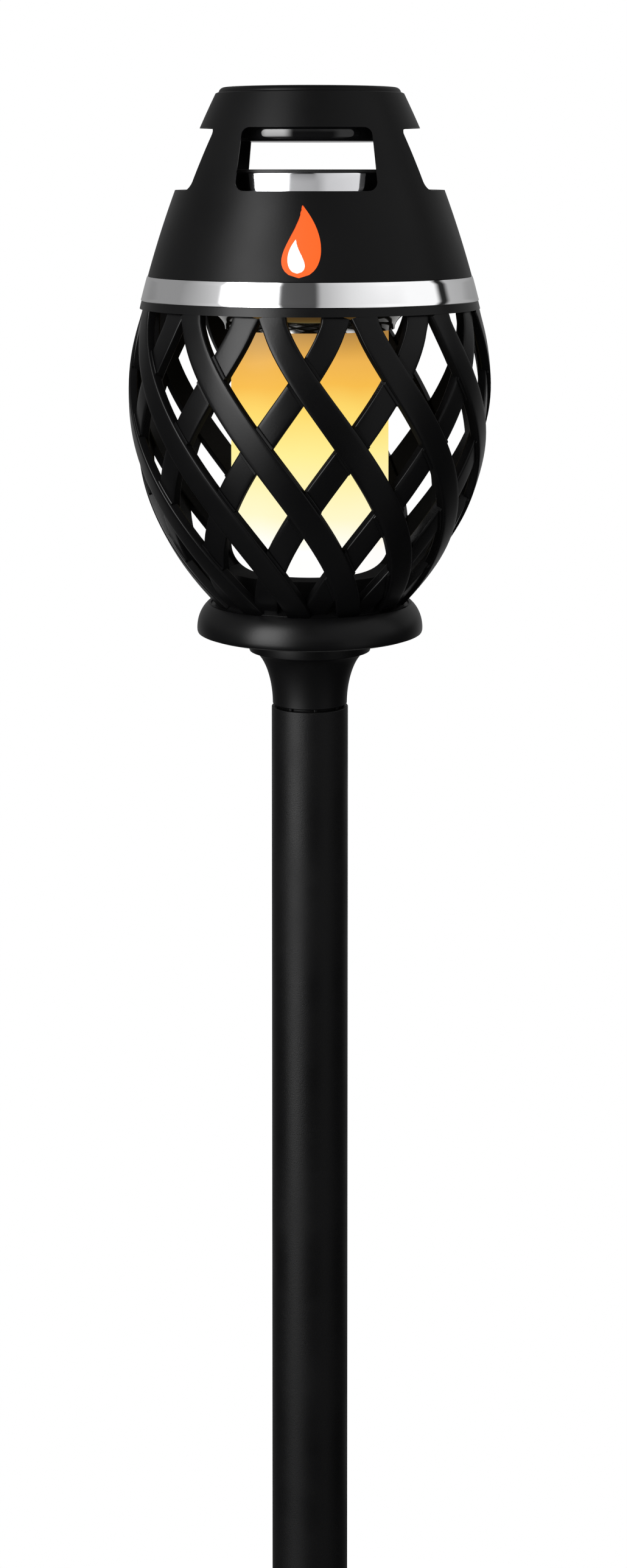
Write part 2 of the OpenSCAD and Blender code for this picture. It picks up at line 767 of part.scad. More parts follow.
module flap_pocket(extra) {
    y0 = keys_r - flap_len / 2;
    translate([-flap_w / 2 - extra, y0 - extra, cover_z - 1])
        cube([flap_w + 2 * extra, flap_len + 2 * extra, 2.6 + extra / 2]);
}

module base_cover() {
    flap_y = keys_r + flap_len / 2;
    color("#1b1b1b") on_head() difference() {
        union() {
            translate([0, 0, cover_z]) cylinder(r = cover_r, h = cover_t);
            translate([0, 0, cover_z])
                cylinder(r = socket_bore_r + socket_wall, h = socket_top_z + 1.2 - cover_z);
            around(screw_angles, keys_r) translate([0, 0, cover_z])
                cylinder(r = post_r, h = board_z - cover_z, $fn = 32);
            translate([-flap_w / 2 - 1.2, keys_r - 5, cover_z])
                cube([flap_w + 2.4, 8, cover_t + 1.9]);
        }
        translate([0, 0, cover_z - 1]) cylinder(r = socket_bore_r, h = socket_top_z + 1 - cover_z);
        around(key_angles, keys_r) translate([0, 0, cover_z - 1])
            cylinder(r = button_r + free_gap, h = cover_t + 2, $fn = 48);
        around(screw_angles, keys_r) translate([0, 0, cover_z - 1])
            cylinder(r = screw_r + 0.1, h = board_z + 2, $fn = 24);
        around(screw_angles, keys_r) translate([0, 0, cover_z - 1])
            cylinder(r = screw_head_r + 0.15, h = 1 + screw_head_h, $fn = 32);
        rotate([0, 0, light_angle]) translate([keys_r, 0, cover_z - 1])
            cylinder(r = 1 + bond_gap, h = cover_t + 2, $fn = 24);
        flap_pocket(free_gap);
        translate([-4.7, keys_r - 2.2, cover_z]) cube([9.4, 4.4, 6]);
        translate([-flap_w / 2 - free_gap, flap_y - 0.4, cover_z - 1])
            cube([flap_w + 2 * free_gap, 1.6, 2.6]);
    }
}

module base_screws() {
    color("#8f9296") on_head() around(screw_angles, keys_r) {
        translate([0, 0, cover_z + 0.1])
            cylinder(r = screw_head_r, h = screw_head_h - 0.1, $fn = 32);
        translate([0, 0, cover_z + screw_head_h])
            cylinder(r = screw_r - bond_gap, h = board_top_z + 4 - cover_z - screw_head_h, $fn = 24);
    }
}

module foot_ring() {
    color("#0c0c0c") on_head() translate([0, 0, -0.5])
        tube(ring_r - 1.8 - bond_gap, ring_r - 4.8 + bond_gap, 1.5);
}

module light_pipe() {
    color("#dfe8ee") on_head() rotate([0, 0, light_angle]) translate([keys_r, 0, cover_z])
        cylinder(r = 1, h = board_z - cover_z - 0.6, $fn = 24);
}

module button(place) {
    color("#242424") on_head() rotate([0, 0, key_angles[place]]) translate([keys_r, 0, 0])
        rotate_extrude($fn = 48) polygon([
            [0, cover_z - button_proud], [button_r - 0.4, cover_z - button_proud],
            [button_r, cover_z - button_proud + 0.4], [button_r, cover_top_z + free_gap],
            [button_flange_r, cover_top_z + free_gap],
            [button_flange_r, cover_top_z + free_gap + button_flange_t],
            [1.3, cover_top_z + free_gap + button_flange_t], [1.3, button_top_z],
            [0, button_top_z]]);
}

module power_button() button(0);

module volume_down_button() button(1);

module play_button() button(2);

module volume_up_button() button(3);

module light_button() button(4);

module port_cover() {
    t = 1.3;
    y1 = keys_r + flap_len / 2;
    color("#111111") on_head() {
        translate([-flap_w / 2, keys_r - flap_len / 2, cover_z]) cube([flap_w, flap_len, t]);
        translate([-3.4, keys_r - 1, cover_z + t - 0.1]) cube([6.8, 2, 1]);
        translate([-flap_w / 2, y1, cover_z + t / 2]) rotate([0, 90, 0])
            cylinder(r = t / 2, h = flap_w, $fn = 32);
        translate([-1.6, keys_r - flap_len / 2 + 0.3, cover_z - 0.4]) cube([3.2, 1, 0.5]);
    }
}

// ---- Adapter ----

module adapter_washer() {
    color("#0d0d0d") on_head() translate([0, 0, washer_z])
        tube(flange_d / 2 - 1, socket_bore_r + 1, washer_t);
}

// A stud whose blunt-crested thread runs out to nothing at both ends
module adapter_stud() {
    sides = 24;
    z0 = -stud_depth;
    z1 = boss_h - 0.4;
    steps = ceil((z1 - z0) / 0.45);
    thread_z0 = flange_top_z + 0.9;
    thread_z1 = z1 - 0.8;
    rings = [for (j = [0:steps]) let (z = z0 + (z1 - z0) * j / steps)
        [for (i = [0:sides - 1]) let (
                a = -i * 360 / sides,
                wave = (z / thread_pitch - a / 360) - floor(z / thread_pitch - a / 360),
                ridge = min(1, max(0, 2.2 - abs(wave - 0.5) * 6)),
                fade = min(1, max(0, (z - thread_z0) / 1.2), max(0, (thread_z1 - z) / 1.2)),
                r = stud_r - thread_depth * (1 - ridge * fade))
            [r * cos(a), r * sin(a), z]]];
    color("#c9c9cc") on_head() ring_solid(rings);
}

module pole_adapter() {
    flare_top_r = flange_d / 2 - flange_step;
    steps = 14;
    plug_z = -adapter_h - adapter_seat - adapter_plug_len;
    drop = adapter_h + flange_bottom_z;
    color("#171717") on_head() {
        difference() {
            union() {
                rotate_extrude() polygon(concat(
                    [[0, flange_top_z], [0, plug_z], [plug_r - 1.6, plug_z],
                    [plug_r - 0.8, plug_z + 1.4], [plug_r - 0.8, -adapter_h]],
                    [for (i = [steps:-1:0]) let (a = 90 * i / steps)
                        [neck_r + (flare_top_r - neck_r) * (1 - sin(a)),
                        -adapter_h + drop * (1 - (1 - cos(a)) ^ 0.9)]],
                    [[flange_d / 2 - 0.1, flange_bottom_z + 0.1], [flange_d / 2, flange_bottom_z + 0.4],
                    [flange_d / 2, flange_top_z - 0.4], [flange_d / 2 - 0.4, flange_top_z]]));
                for (i = [0:7]) rotate([0, 0, i * 45 + 12])
                    translate([plug_r - 1.4, -0.6, plug_z + 2])
                        cube([1.4, 1.2, adapter_plug_len + adapter_seat - 2 + 0.01]);
            }
            translate([0, 0, plug_z - 1])
                cylinder(r = plug_r - 3.2, h = adapter_plug_len + 8);
            translate([0, 0, -stud_depth])
                cylinder(r = stud_r - thread_depth + bond_gap, h = stud_depth + 1);
        }
    }
}

// ---- Pole and stake ----

module pole_section(h) {
    color("#1a1a1b") translate([0, 0, h]) rotate_extrude() polygon([
        [pole_bore_r, 0], [pole_r - pole_rim_r, 0], [pole_r, pole_rim_r],
        [pole_r, section_len - pole_rim_r], [pole_r - pole_rim_r, section_len],
        [pole_bore_r, section_len]]);
}

module lower_pole() pole_section(lower_pole_h);

module middle_pole() pole_section(middle_pole_h);

module upper_pole() pole_section(upper_pole_h);

// A hollow plug: its lower half stays in the section below, and the section above slips over it
module coupler(joint_h) {
    wall = 2;
    color("#101010") translate([0, 0, joint_h]) rotate_extrude() polygon([
        [plug_r - wall, -plug_len], [pole_bore_r - bond_gap, -plug_len],
        [pole_bore_r - bond_gap, -0.5], [plug_r, 0], [plug_r, plug_len - 1.5],
        [plug_r - 0.9, plug_len], [plug_r - wall, plug_len]]);
}

module lower_coupler() coupler(lower_pole_h + section_len);

module upper_coupler() coupler(middle_pole_h + section_len);

module ground_stake() {
    tip_w = 5;
    shoulder = 10;
    color("#141414") {
        for (a = [0, 90]) rotate([90, 0, a]) translate([0, 0, -stake_t / 2])
            linear_extrude(stake_t) polygon([
                [-stake_w / 2, 0], [-stake_w / 2, -shoulder], [-tip_w, -stake_len + 14],
                [0, -stake_len], [tip_w, -stake_len + 14], [stake_w / 2, -shoulder],
                [stake_w / 2, 0]]);
        rotate_extrude() polygon([
            [0, 0], [stake_plate_d / 2 - 1, 0], [stake_plate_d / 2, 1],
            [stake_plate_d / 2, plate_t - 2.4], [stake_plate_d / 2 - 1.6, plate_t - 1.2],
            [pole_r + 3, plate_t], [plug_r, plate_t], [plug_r, plate_t + plug_len - 1.5],
            [plug_r - 1.5, plate_t + plug_len], [0, plate_t + plug_len]]);
    }
}

upper_shell();
sound_reflector();
trim_band();
deck_ring();
speaker_grille();
speaker_baffle();
driver_basket();
driver_magnet();
driver_top_plate();
driver_yoke();
voice_coil();
speaker_cone();
dust_cap();
cone_surround();
cone_spider();
driver_screws();
speaker_leads();
lattice_cage();
cage_screws();
glow_reflector();
flame_diffuser();
lamp_core();
lamp_board();
flame_lamps();
battery_cell();
battery_cradle();
base_tray();
main_board();
board_parts();
radio_module();
charging_socket();
tact_switches();
base_ring();
base_cover();
base_screws();
foot_ring();
light_pipe();
power_button();
volume_down_button();
play_button();
volume_up_button();
light_button();
port_cover();
adapter_washer();
adapter_stud();
pole_adapter();
upper_pole();
upper_coupler();
middle_pole();
lower_coupler();
lower_pole();
ground_stake();
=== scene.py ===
"""Looks of the garden torch: an egg-shaped flame light and speaker on a sectional pole.

Lengths below are in millimetres until to_object() scales them. Heights called z are measured
from the head's own base, except for the poles and the stake, which use the row's ground level.
"""

import json
import math

import bmesh
import bpy
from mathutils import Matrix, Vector

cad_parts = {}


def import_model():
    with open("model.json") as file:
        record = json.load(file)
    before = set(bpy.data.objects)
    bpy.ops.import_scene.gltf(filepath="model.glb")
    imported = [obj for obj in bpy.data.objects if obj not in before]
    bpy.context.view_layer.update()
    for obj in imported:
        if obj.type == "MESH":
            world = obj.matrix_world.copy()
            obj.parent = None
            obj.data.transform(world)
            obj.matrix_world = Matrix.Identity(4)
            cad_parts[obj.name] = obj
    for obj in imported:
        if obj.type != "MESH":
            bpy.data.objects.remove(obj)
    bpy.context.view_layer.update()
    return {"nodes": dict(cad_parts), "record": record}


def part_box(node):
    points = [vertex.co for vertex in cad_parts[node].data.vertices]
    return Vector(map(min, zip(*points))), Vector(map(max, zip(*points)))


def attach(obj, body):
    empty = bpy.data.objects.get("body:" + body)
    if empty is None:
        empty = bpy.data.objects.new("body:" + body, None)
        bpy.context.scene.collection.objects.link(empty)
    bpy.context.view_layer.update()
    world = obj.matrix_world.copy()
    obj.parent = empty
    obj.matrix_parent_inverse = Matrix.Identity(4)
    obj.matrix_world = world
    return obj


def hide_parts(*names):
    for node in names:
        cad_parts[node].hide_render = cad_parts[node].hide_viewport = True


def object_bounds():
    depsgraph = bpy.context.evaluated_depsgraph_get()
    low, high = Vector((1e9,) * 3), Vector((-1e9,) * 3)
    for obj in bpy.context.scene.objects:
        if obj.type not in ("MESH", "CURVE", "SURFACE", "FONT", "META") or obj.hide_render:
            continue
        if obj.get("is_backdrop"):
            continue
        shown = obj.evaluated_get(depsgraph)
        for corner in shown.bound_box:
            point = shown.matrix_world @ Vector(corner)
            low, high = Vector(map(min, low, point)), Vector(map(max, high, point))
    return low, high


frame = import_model()
nodes = frame["nodes"]

MM = 0.001
HEAD_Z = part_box("base_ring")[0][2] / MM
PI = math.pi
WHITE = (1, 1, 1)

DIFFUSER_R, DIFFUSER_LOW, DIFFUSER_TOP = 26.0, 20.6, 100.8
DIFFUSER_WALL, DIFFUSER_ROUND, DIFFUSER_HOLE = 1.8, 9, 16.5


# ---------------------------------------------------------------- camera

IMAGE_H = 2576
FOCAL_PX = 4267
SENSOR = 36.0
DISTANCE = 0.856
AZIMUTH = math.radians(1.8)
PITCH = math.radians(3.5)
HORIZON_PX = 1016
AXIS_PX = 6

cam_data = bpy.data.cameras.new("camera")
cam_data.sensor_width = SENSOR
cam_data.lens = FOCAL_PX * SENSOR / IMAGE_H
cam_data.shift_x = AXIS_PX / IMAGE_H
cam_data.shift_y = -(HORIZON_PX - FOCAL_PX * math.tan(PITCH)) / IMAGE_H
cam_data.clip_start = 0.02
camera = bpy.data.objects.new("camera", cam_data)
camera.location = (
    DISTANCE * math.sin(AZIMUTH),
    -DISTANCE * math.cos(AZIMUTH),
    (HEAD_Z + 154.4) * MM,
)
camera.rotation_euler = (PI / 2 - PITCH, 0.0, AZIMUTH)
bpy.context.scene.collection.objects.link(camera)
bpy.context.scene.camera = camera
bpy.context.scene.view_settings.view_transform = "Standard"


# ---------------------------------------------------------------- shader helpers


class Graph:
    """Short calls for building a node tree."""

    def __init__(self, tree):
        self.tree = tree
        tree.nodes.clear()

    def node(self, kind, props=None, **inputs):
        n = self.tree.nodes.new(kind)
        for key, value in (props or {}).items():
            setattr(n, key, value)
        for key, value in inputs.items():
            self.put(n.inputs[key.replace("_", " ")], value)
        return n

    def put(self, socket, value):
        if isinstance(value, bpy.types.NodeSocket):
            self.tree.links.new(value, socket)
        elif value is not None:
            socket.default_value = value

    def math(self, op, a, b=None, c=None, clamp=False):
        n = self.tree.nodes.new("ShaderNodeMath")
        n.operation = op
        n.use_clamp = clamp
        for i, v in enumerate((a, b, c)):
            self.put(n.inputs[i], v)
        return n.outputs[0]

    def ramp(self, fac, stops, ease="LINEAR"):
        n = self.tree.nodes.new("ShaderNodeValToRGB")
        n.color_ramp.interpolation = ease
        el = n.color_ramp.elements
        while len(el) > 1:
            el.remove(el[-1])
        for i, (pos, value) in enumerate(stops):
            e = el[0] if i == 0 else el.new(pos)
            e.position = pos
            e.color = (value, value, value, 1) if isinstance(value, (int, float)) else (*value, 1)
        self.put(n.inputs[0], fac)
        return n.outputs[0]

    def span(self, value, lo, hi, out_lo=0.0, out_hi=1.0):
        n = self.tree.nodes.new("ShaderNodeMapRange")
        for i, v in enumerate((value, lo, hi, out_lo, out_hi)):
            self.put(n.inputs[i], v)
        return n.outputs[0]

    def mix(self, fac, a, b, blend="MIX"):
        n = self.tree.nodes.new("ShaderNodeMix")
        n.data_type = "RGBA"
        n.blend_type = blend
        for i, v in zip((0, 6, 7), (fac, a, b)):
            self.put(n.inputs[i], v)
        return n.outputs[2]

    def noise(self, vec, scale, detail=3.0, rough=0.55):
        n = self.node(
            "ShaderNodeTexNoise", Vector=vec, Scale=scale, Detail=detail, Roughness=rough
        )
        return n.outputs["Fac"]

    def coords(self):
        return self.node("ShaderNodeTexCoord").outputs["Object"]


def rgba(c):
    return (*c, 1.0)


BUMP_DEPTH = 0.0002
SLOW_SCALE = 28.0


def finish(
    name,
    color,
    rough,
    grain=900.0,
    bump=0.12,
    vary=0.25,
    rough_vary=0.06,
    metal=0.0,
    spec=0.2,
    stretch=(1, 1, 1),
    pattern=None,
    clear=0.0,
):
    """A moulded, painted or metal finish: fine grain, slow colour drift and uneven gloss."""
    mat = bpy.data.materials.new(name)
    mat.use_nodes = True
    g = Graph(mat.node_tree)
    scaled = g.node("ShaderNodeMapping", Vector=g.coords(), Scale=stretch).outputs[0]
    fine = g.noise(scaled, grain, 4.0, 0.6)
    slow = g.noise(scaled, SLOW_SCALE, 3.0)
    dark = rgba([v * (1 - vary) for v in color])
    light = rgba([min(1.0, v * (1 + vary)) for v in color])
    base = g.mix(slow, dark, light)
    base = g.mix(g.span(fine, 0.35, 0.65, 0.0, 0.35), base, light)
    height = fine
    if pattern:
        base, height = pattern(g, scaled, base, fine)
    shader = g.node(
        "ShaderNodeBsdfPrincipled",
        Base_Color=base,
        Roughness=g.span(slow, 0.3, 0.7, rough - rough_vary, rough + rough_vary),
        Metallic=metal,
        Normal=g.node(
            "ShaderNodeBump", Height=height, Strength=bump, Distance=BUMP_DEPTH
        ).outputs[0],
    )
    shader.inputs["Specular IOR Level"].default_value = spec
    shader.inputs["Transmission Weight"].default_value = clear
    g.node("ShaderNodeOutputMaterial", Surface=shader.outputs[0])
    return mat


def traces(g, vec, base, fine):
    """Copper runs and pads under a solder mask."""
    brick = g.node(
        "ShaderNodeTexBrick",
        Vector=vec,
        Scale=420.0,
        Color1=rgba((0, 0, 0)),
        Color2=rgba((0.2, 0.2, 0.2)),
        Mortar=rgba(WHITE),
        Mortar_Size=0.04,
    ).outputs["Color"]
    pads = g.node("ShaderNodeTexVoronoi", Vector=vec, Scale=330.0).outputs["Distance"]
    pads = g.span(pads, 0.16, 0.2, 1.0, 0.0)
    out = g.mix(g.math("MULTIPLY", brick, 0.5), base, rgba((0.08, 0.34, 0.12)))
    return g.mix(pads, out, rgba((0.6, 0.58, 0.5))), brick


def weave(g, vec, base, fine):
    """Crossed threads."""
    waves = [
        g.node(
            "ShaderNodeTexWave",
            {"bands_direction": axis},
            Vector=vec,
            Scale=900.0,
            Distortion=0.6,
        ).outputs["Fac"]
        for axis in ("X", "Y")
    ]
    cloth = g.math("MAXIMUM", *waves)
    return g.mix(cloth, g.mix(0.55, base, rgba((0, 0, 0))), base), cloth


def threads(g, vec, base, fine):
    """Turned marks around the thread."""
    wave = g.node(
        "ShaderNodeTexWave", {"bands_direction": "Z"}, Vector=vec, Scale=700.0, Distortion=1.5
    ).outputs["Fac"]
    return g.mix(g.math("MULTIPLY", wave, 0.35), base, rgba((0.3, 0.3, 0.32))), wave


def windings(g, vec, base, fine):
    """Wire laid turn by turn."""
    wave = g.node(
        "ShaderNodeTexWave", {"bands_direction": "Z"}, Vector=vec, Scale=1500.0
    ).outputs["Fac"]
    return g.mix(wave, g.mix(0.6, base, rgba((0, 0, 0))), base), wave


MAT = {
    "shell_black": finish("shell_black", (0.0014, 0.0014, 0.0015), 0.38, 1600, 0.1, spec=0.11),
    "gloss_black": finish(
        "gloss_black", (0.003, 0.003, 0.0032), 0.07, 300, 0.01, rough_vary=0.02, spec=0.5
    ),
    "chrome_trim": finish(
        "chrome_trim", (0.86, 0.86, 0.87), 0.05, 260, 0.004, 0.03, 0.02, metal=1.0
    ),
    "chrome_deck": finish(
        "chrome_deck", (0.8, 0.8, 0.82), 0.09, 260, 0.006, 0.04, 0.03, metal=1.0
    ),
    "grille_black": finish("grille_black", (0.008, 0.008, 0.008), 0.45, 1500, 0.2),
    "inner_black": finish("inner_black", (0.006, 0.006, 0.006), 0.6, 1000, 0.15, spec=0.05),
    "basket_steel": finish(
        "basket_steel", (0.42, 0.42, 0.44), 0.38, 700, 0.1, metal=1.0, stretch=(1, 1, 6)
    ),
    "magnet": finish("magnet", (0.05, 0.05, 0.055), 0.55, 1300, 0.4, 0.4),
    "coil_copper": finish(
        "coil_copper", (0.72, 0.32, 0.13), 0.3, 900, 0.5, metal=1.0, pattern=windings
    ),
    "cone_paper": finish("cone_paper", (0.02, 0.02, 0.024), 0.6, 1100, 0.6, 0.5),
    "surround_rubber": finish("surround_rubber", (0.008, 0.008, 0.008), 0.55, 900, 0.1),
    "spider_cloth": finish("spider_cloth", (0.42, 0.3, 0.12), 0.8, 900, 0.7, pattern=weave),
    "screw_steel": finish(
        "screw_steel", (0.3, 0.3, 0.31), 0.35, 1500, 0.2, metal=1.0, stretch=(1, 1, 4)
    ),
    "lead_wire": finish("lead_wire", (0.45, 0.02, 0.02), 0.45, 1200, 0.1),
    "cage_black": finish("cage_black", (0.0015, 0.0015, 0.0016), 0.3, 1400, 0.07, 0.3, spec=0.14),
    "reflector_chrome": finish(
        "reflector_chrome", (0.78, 0.77, 0.75), 0.09, 200, 0.02, 0.05, 0.03, metal=1.0
    ),
    "lamp_core_white": finish("lamp_core_white", (0.75, 0.74, 0.7), 0.5, 700, 0.1, 0.06),
    "board_green": finish("board_green", (0.02, 0.16, 0.05), 0.35, 700, 0.4, pattern=traces),
    "lamp_yellow": finish("lamp_yellow", (0.9, 0.62, 0.16), 0.25, 900, 0.1, 0.15),
    "cell_blue": finish("cell_blue", (0.03, 0.16, 0.42), 0.3, 160, 0.15, 0.2),
    "chip_black": finish("chip_black", (0.02, 0.02, 0.022), 0.5, 1800, 0.25),
    "shield_metal": finish(
        "shield_metal", (0.6, 0.61, 0.63), 0.3, 900, 0.15, metal=1.0, stretch=(5, 1, 1)
    ),
    "base_black": finish("base_black", (0.0015, 0.0015, 0.0016), 0.34, 1400, 0.08, 0.3, spec=0.14),
    "foot_rubber": finish("foot_rubber", (0.012, 0.012, 0.012), 0.75, 1200, 0.3, 0.3),
    "light_clear": finish(
        "light_clear", (0.8, 0.86, 0.92), 0.12, 500, 0.02, 0.04, 0.03, clear=0.85
    ),
    "button_black": finish("button_black", (0.014, 0.014, 0.014), 0.6, 1500, 0.2),
    "stud_metal": finish(
        "stud_metal", (0.62, 0.62, 0.64), 0.3, 900, 0.3, metal=1.0, pattern=threads
    ),
    "adapter_black": finish(
        "adapter_black", (0.0015, 0.0015, 0.0016), 0.42, 1500, 0.1, 0.3, spec=0.12
    ),
    "pole_paint": finish(
        "pole_paint",
        (0.0015, 0.0015, 0.0016),
        0.4,
        2600,
        0.35,
        0.35,
        0.07,
        spec=0.13,
        stretch=(1, 1, 1.5),
    ),
    "coupler_black": finish("coupler_black", (0.012, 0.012, 0.012), 0.5, 1000, 0.15),
    "stake_black": finish("stake_black", (0.01, 0.01, 0.01), 0.48, 900, 0.2, 0.3),
    "print_orange": finish("print_orange", (0.64, 0.074, 0.005), 0.5, 1800, 0.1, 0.1),
    "print_white": finish("print_white", (0.82, 0.82, 0.8), 0.5, 1800, 0.1, 0.06),
}


def glow_material():
    """Frosted diffuser: amber at the top, yellow in the middle and white at its foot.

    Its glow is dimmed in reflections, so that the chrome above it stays neutral.
    """
    mat = bpy.data.materials.new("diffuser_frost")
    mat.use_nodes = True
    g = Graph(mat.node_tree)
    vec = g.coords()
    z = g.node("ShaderNodeSeparateXYZ", Vector=vec).outputs["Z"]
    lo, hi = (HEAD_Z + DIFFUSER_LOW) * MM, (HEAD_Z + DIFFUSER_TOP) * MM
    drift = g.math("MULTIPLY", g.math("SUBTRACT", g.noise(vec, 26.0, 2.0), 0.5), 0.14)
    height = g.math("ADD", g.span(z, lo, hi), drift, clamp=True)
    glow = g.ramp(
        height,
        [
            (0.0, (1.0, 1.0, 1.0)),
            (0.12, (1.0, 1.0, 1.0)),
            (0.25, (1.0, 0.93, 0.6)),
            (0.5, (0.98, 0.85, 0.3)),
            (0.66, (0.98, 0.7, 0.15)),
            (0.78, (0.92, 0.5, 0.07)),
            (0.88, (0.85, 0.45, 0.08)),
            (1.0, (0.4, 0.2, 0.04)),
        ],
    )
    pale = g.span(g.noise(vec, 17.0, 1.0), 0.5, 0.75, 0.0, 0.3)
    glow = g.mix(pale, glow, rgba((0.96, 0.7, 0.38)))
    fine = g.noise(vec, 1800.0, 2.0)
    mirrored = g.node("ShaderNodeLightPath").outputs["Is Glossy Ray"]
    shader = g.node(
        "ShaderNodeBsdfPrincipled",
        Base_Color=rgba((0.03, 0.024, 0.012)),
        Roughness=g.span(fine, 0.3, 0.7, 0.5, 0.62),
        Emission_Color=glow,
        Emission_Strength=g.span(mirrored, 0.0, 1.0, 1.0, 0.12),
        Normal=g.node("ShaderNodeBump", Height=fine, Strength=0.1, Distance=BUMP_DEPTH).outputs[0],
    )
    shader.inputs["Specular IOR Level"].default_value = 0.1
    g.node("ShaderNodeOutputMaterial", Surface=shader.outputs[0])
    return mat


MAT["diffuser_frost"] = glow_material()


# ---------------------------------------------------------------- mesh helpers


class Shape:
    """Vertices and faces in millimetres, gathered from simple forms."""

    def __init__(self):
        self.verts = []
        self.faces = []

    def add(self, verts, faces):
        base = len(self.verts)
        self.verts += [tuple(v) for v in verts]
        self.faces += [[i + base for i in f] for f in faces]
        return self

    def revolve(self, profile, z0=0.0, steps=192):
        """Turns a counter-clockwise (radius, height) outline about the axis."""
        verts, rings = [], []
        for r, z in profile:
            if r < 1e-6:
                rings.append([len(verts)] * steps)
                verts.append((0.0, 0.0, z + z0))
            else:
                rings.append(list(range(len(verts), len(verts) + steps)))
                for i in range(steps):
                    a = 2 * PI * i / steps
                    verts.append((r * math.cos(a), r * math.sin(a), z + z0))
        faces = []
        for k in range(len(rings)):
            p, q = rings[k], rings[(k + 1) % len(rings)]
            if p[0] == p[1] and q[0] == q[1]:
                continue
            for i in range(steps):
                j = (i + 1) % steps
                quad = [p[i], p[j], q[j], q[i]]
                face = [v for n, v in enumerate(quad) if v not in quad[:n]]
                faces.append(face)
        return self.add(verts, faces)

    def sweep(self, rings):
        """A closed solid through rings of points."""
        m = len(rings[0])
        verts = [p for ring in rings for p in ring]
        faces = [
            [k * m + i, k * m + (i + 1) % m, (k + 1) * m + (i + 1) % m, (k + 1) * m + i]
            for k in range(len(rings) - 1)
            for i in range(m)
        ]
        faces.append(list(range(m))[::-1])
        faces.append([(len(rings) - 1) * m + i for i in range(m)])
        return self.add(verts, faces)


def new_object(shape, name):
    """The shape as an object in metres, with outward faces."""
    mesh = bpy.data.meshes.new(name)
    mesh.from_pydata([[c * MM for c in v] for v in shape.verts], [], shape.faces)
    bm = bmesh.new()
    bm.from_mesh(mesh)
    bmesh.ops.recalc_face_normals(bm, faces=bm.faces)
    bm.to_mesh(mesh)
    bm.free()
    obj = bpy.data.objects.new(name, mesh)
    bpy.context.scene.collection.objects.link(obj)
    return obj


def to_object(shape, name, body, slot, replaces, crease=35.0):
    """Makes a piece that stands for CAD nodes, with creased edges."""
    obj = new_object(shape, name)
    obj.data.materials.append(MAT[slot])
    smooth(obj, crease)
    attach(obj, body)
    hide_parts(*replaces)
    return obj


def apply_modifiers(obj):
    deps = bpy.context.evaluated_depsgraph_get()
    mesh = bpy.data.meshes.new_from_object(obj.evaluated_get(deps))
    obj.modifiers.clear()
    old, obj.data = obj.data, mesh
    bpy.data.meshes.remove(old)


def smooth(obj, crease):
    obj.data.shade_smooth()
    obj.data.set_sharp_from_angle(angle=math.radians(crease))


def arc(cx, cz, r, a0, a1, steps=8):
    out = []
    for i in range(steps + 1):
        a = math.radians(a0 + (a1 - a0) * i / steps)
        out.append((cx + r * math.cos(a), cz + r * math.sin(a)))
    return out


def rounded(points, steps=4):
    """An outline whose corners, given as (r, z, radius), are rounded."""
    out = []
    n = len(points)
    for i, p in enumerate(points):
        radius = p[2] if len(p) > 2 else 0.0
        here = Vector(p[:2])
        if not radius:
            out.append(tuple(here))
            continue
        to_a = (Vector(points[i - 1][:2]) - here).normalized()
        to_b = (Vector(points[(i + 1) % n][:2]) - here).normalized()
        half = math.acos(max(-1.0, min(1.0, to_a.dot(to_b)))) / 2
        reach = radius / math.tan(half)
        a, b = here + to_a * reach, here + to_b * reach
        for k in range(steps + 1):
            t = k / steps
            out.append(tuple(a * (1 - t) ** 2 + here * 2 * t * (1 - t) + b * t**2))
    return out


# ---------------------------------------------------------------- the egg's outline

BELLY_R, BELLY_Z = 59.8, 80.0
FOOT_R, FOOT_Z = 31.2, 9.6
TOP_R, TOP_Z = 30.0, 180.0
CAGE_TOP, SHELL_Z = 110.3, 118.2
WALL = 2.4
BLEND_RISE = 22.0

BELLY_ARC = ((BELLY_R - FOOT_R) ** 2 + (BELLY_Z - FOOT_Z) ** 2) / (2 * (BELLY_R - FOOT_R))
BELLY_X = BELLY_R - BELLY_ARC
BLEND_A = math.asin(BLEND_RISE / BELLY_ARC)
BLEND_Z = BELLY_Z + BLEND_RISE
BLEND_R = BELLY_X + BELLY_ARC * math.cos(BLEND_A)
CHORD_R, CHORD_Z = TOP_R - BLEND_R, TOP_Z - BLEND_Z
SHOULDER_ARC = -(CHORD_R**2 + CHORD_Z**2) / (
    2 * (CHORD_R * math.cos(BLEND_A) + CHORD_Z * math.sin(BLEND_A))
)
SHOULDER_X = BLEND_R - SHOULDER_ARC * math.cos(BLEND_A)
SHOULDER_Z = BLEND_Z - SHOULDER_ARC * math.sin(BLEND_A)


def egg_r(z):
    if z <= BLEND_Z:
        return BELLY_X + math.sqrt(BELLY_ARC**2 - (z - BELLY_Z) ** 2)
    return SHOULDER_X + math.sqrt(SHOULDER_ARC**2 - (z - SHOULDER_Z) ** 2)


def egg_slope(z):
    if z <= BLEND_Z:
        return math.asin((z - BELLY_Z) / BELLY_ARC)
    return math.asin((z - SHOULDER_Z) / SHOULDER_ARC)


def egg_line(z0, z1, inset=0.0, steps=24):
    return [
        (egg_r(z0 + (z1 - z0) * i / steps) - inset, z0 + (z1 - z0) * i / steps)
        for i in range(steps + 1)
    ]


# ---------------------------------------------------------------- upper shell

WINDOW_TOP, WINDOW_LOW = 166.6, 146.4
WINDOW_HALF_TOP, WINDOW_HALF_LOW = 20.8, 22.4
WINDOW_CORNER = 2.7
DECK_Z, DECK_H, DECK_GAP = 145.5, 6.8, 3.5
SHELF_W = 2.0
TOP_FILLET = 2.0
REFLECTOR_GAP, REFLECTOR_ROUND = 3.05, 1.7
SPIGOT_R = egg_r(SHELL_Z) - 1.15


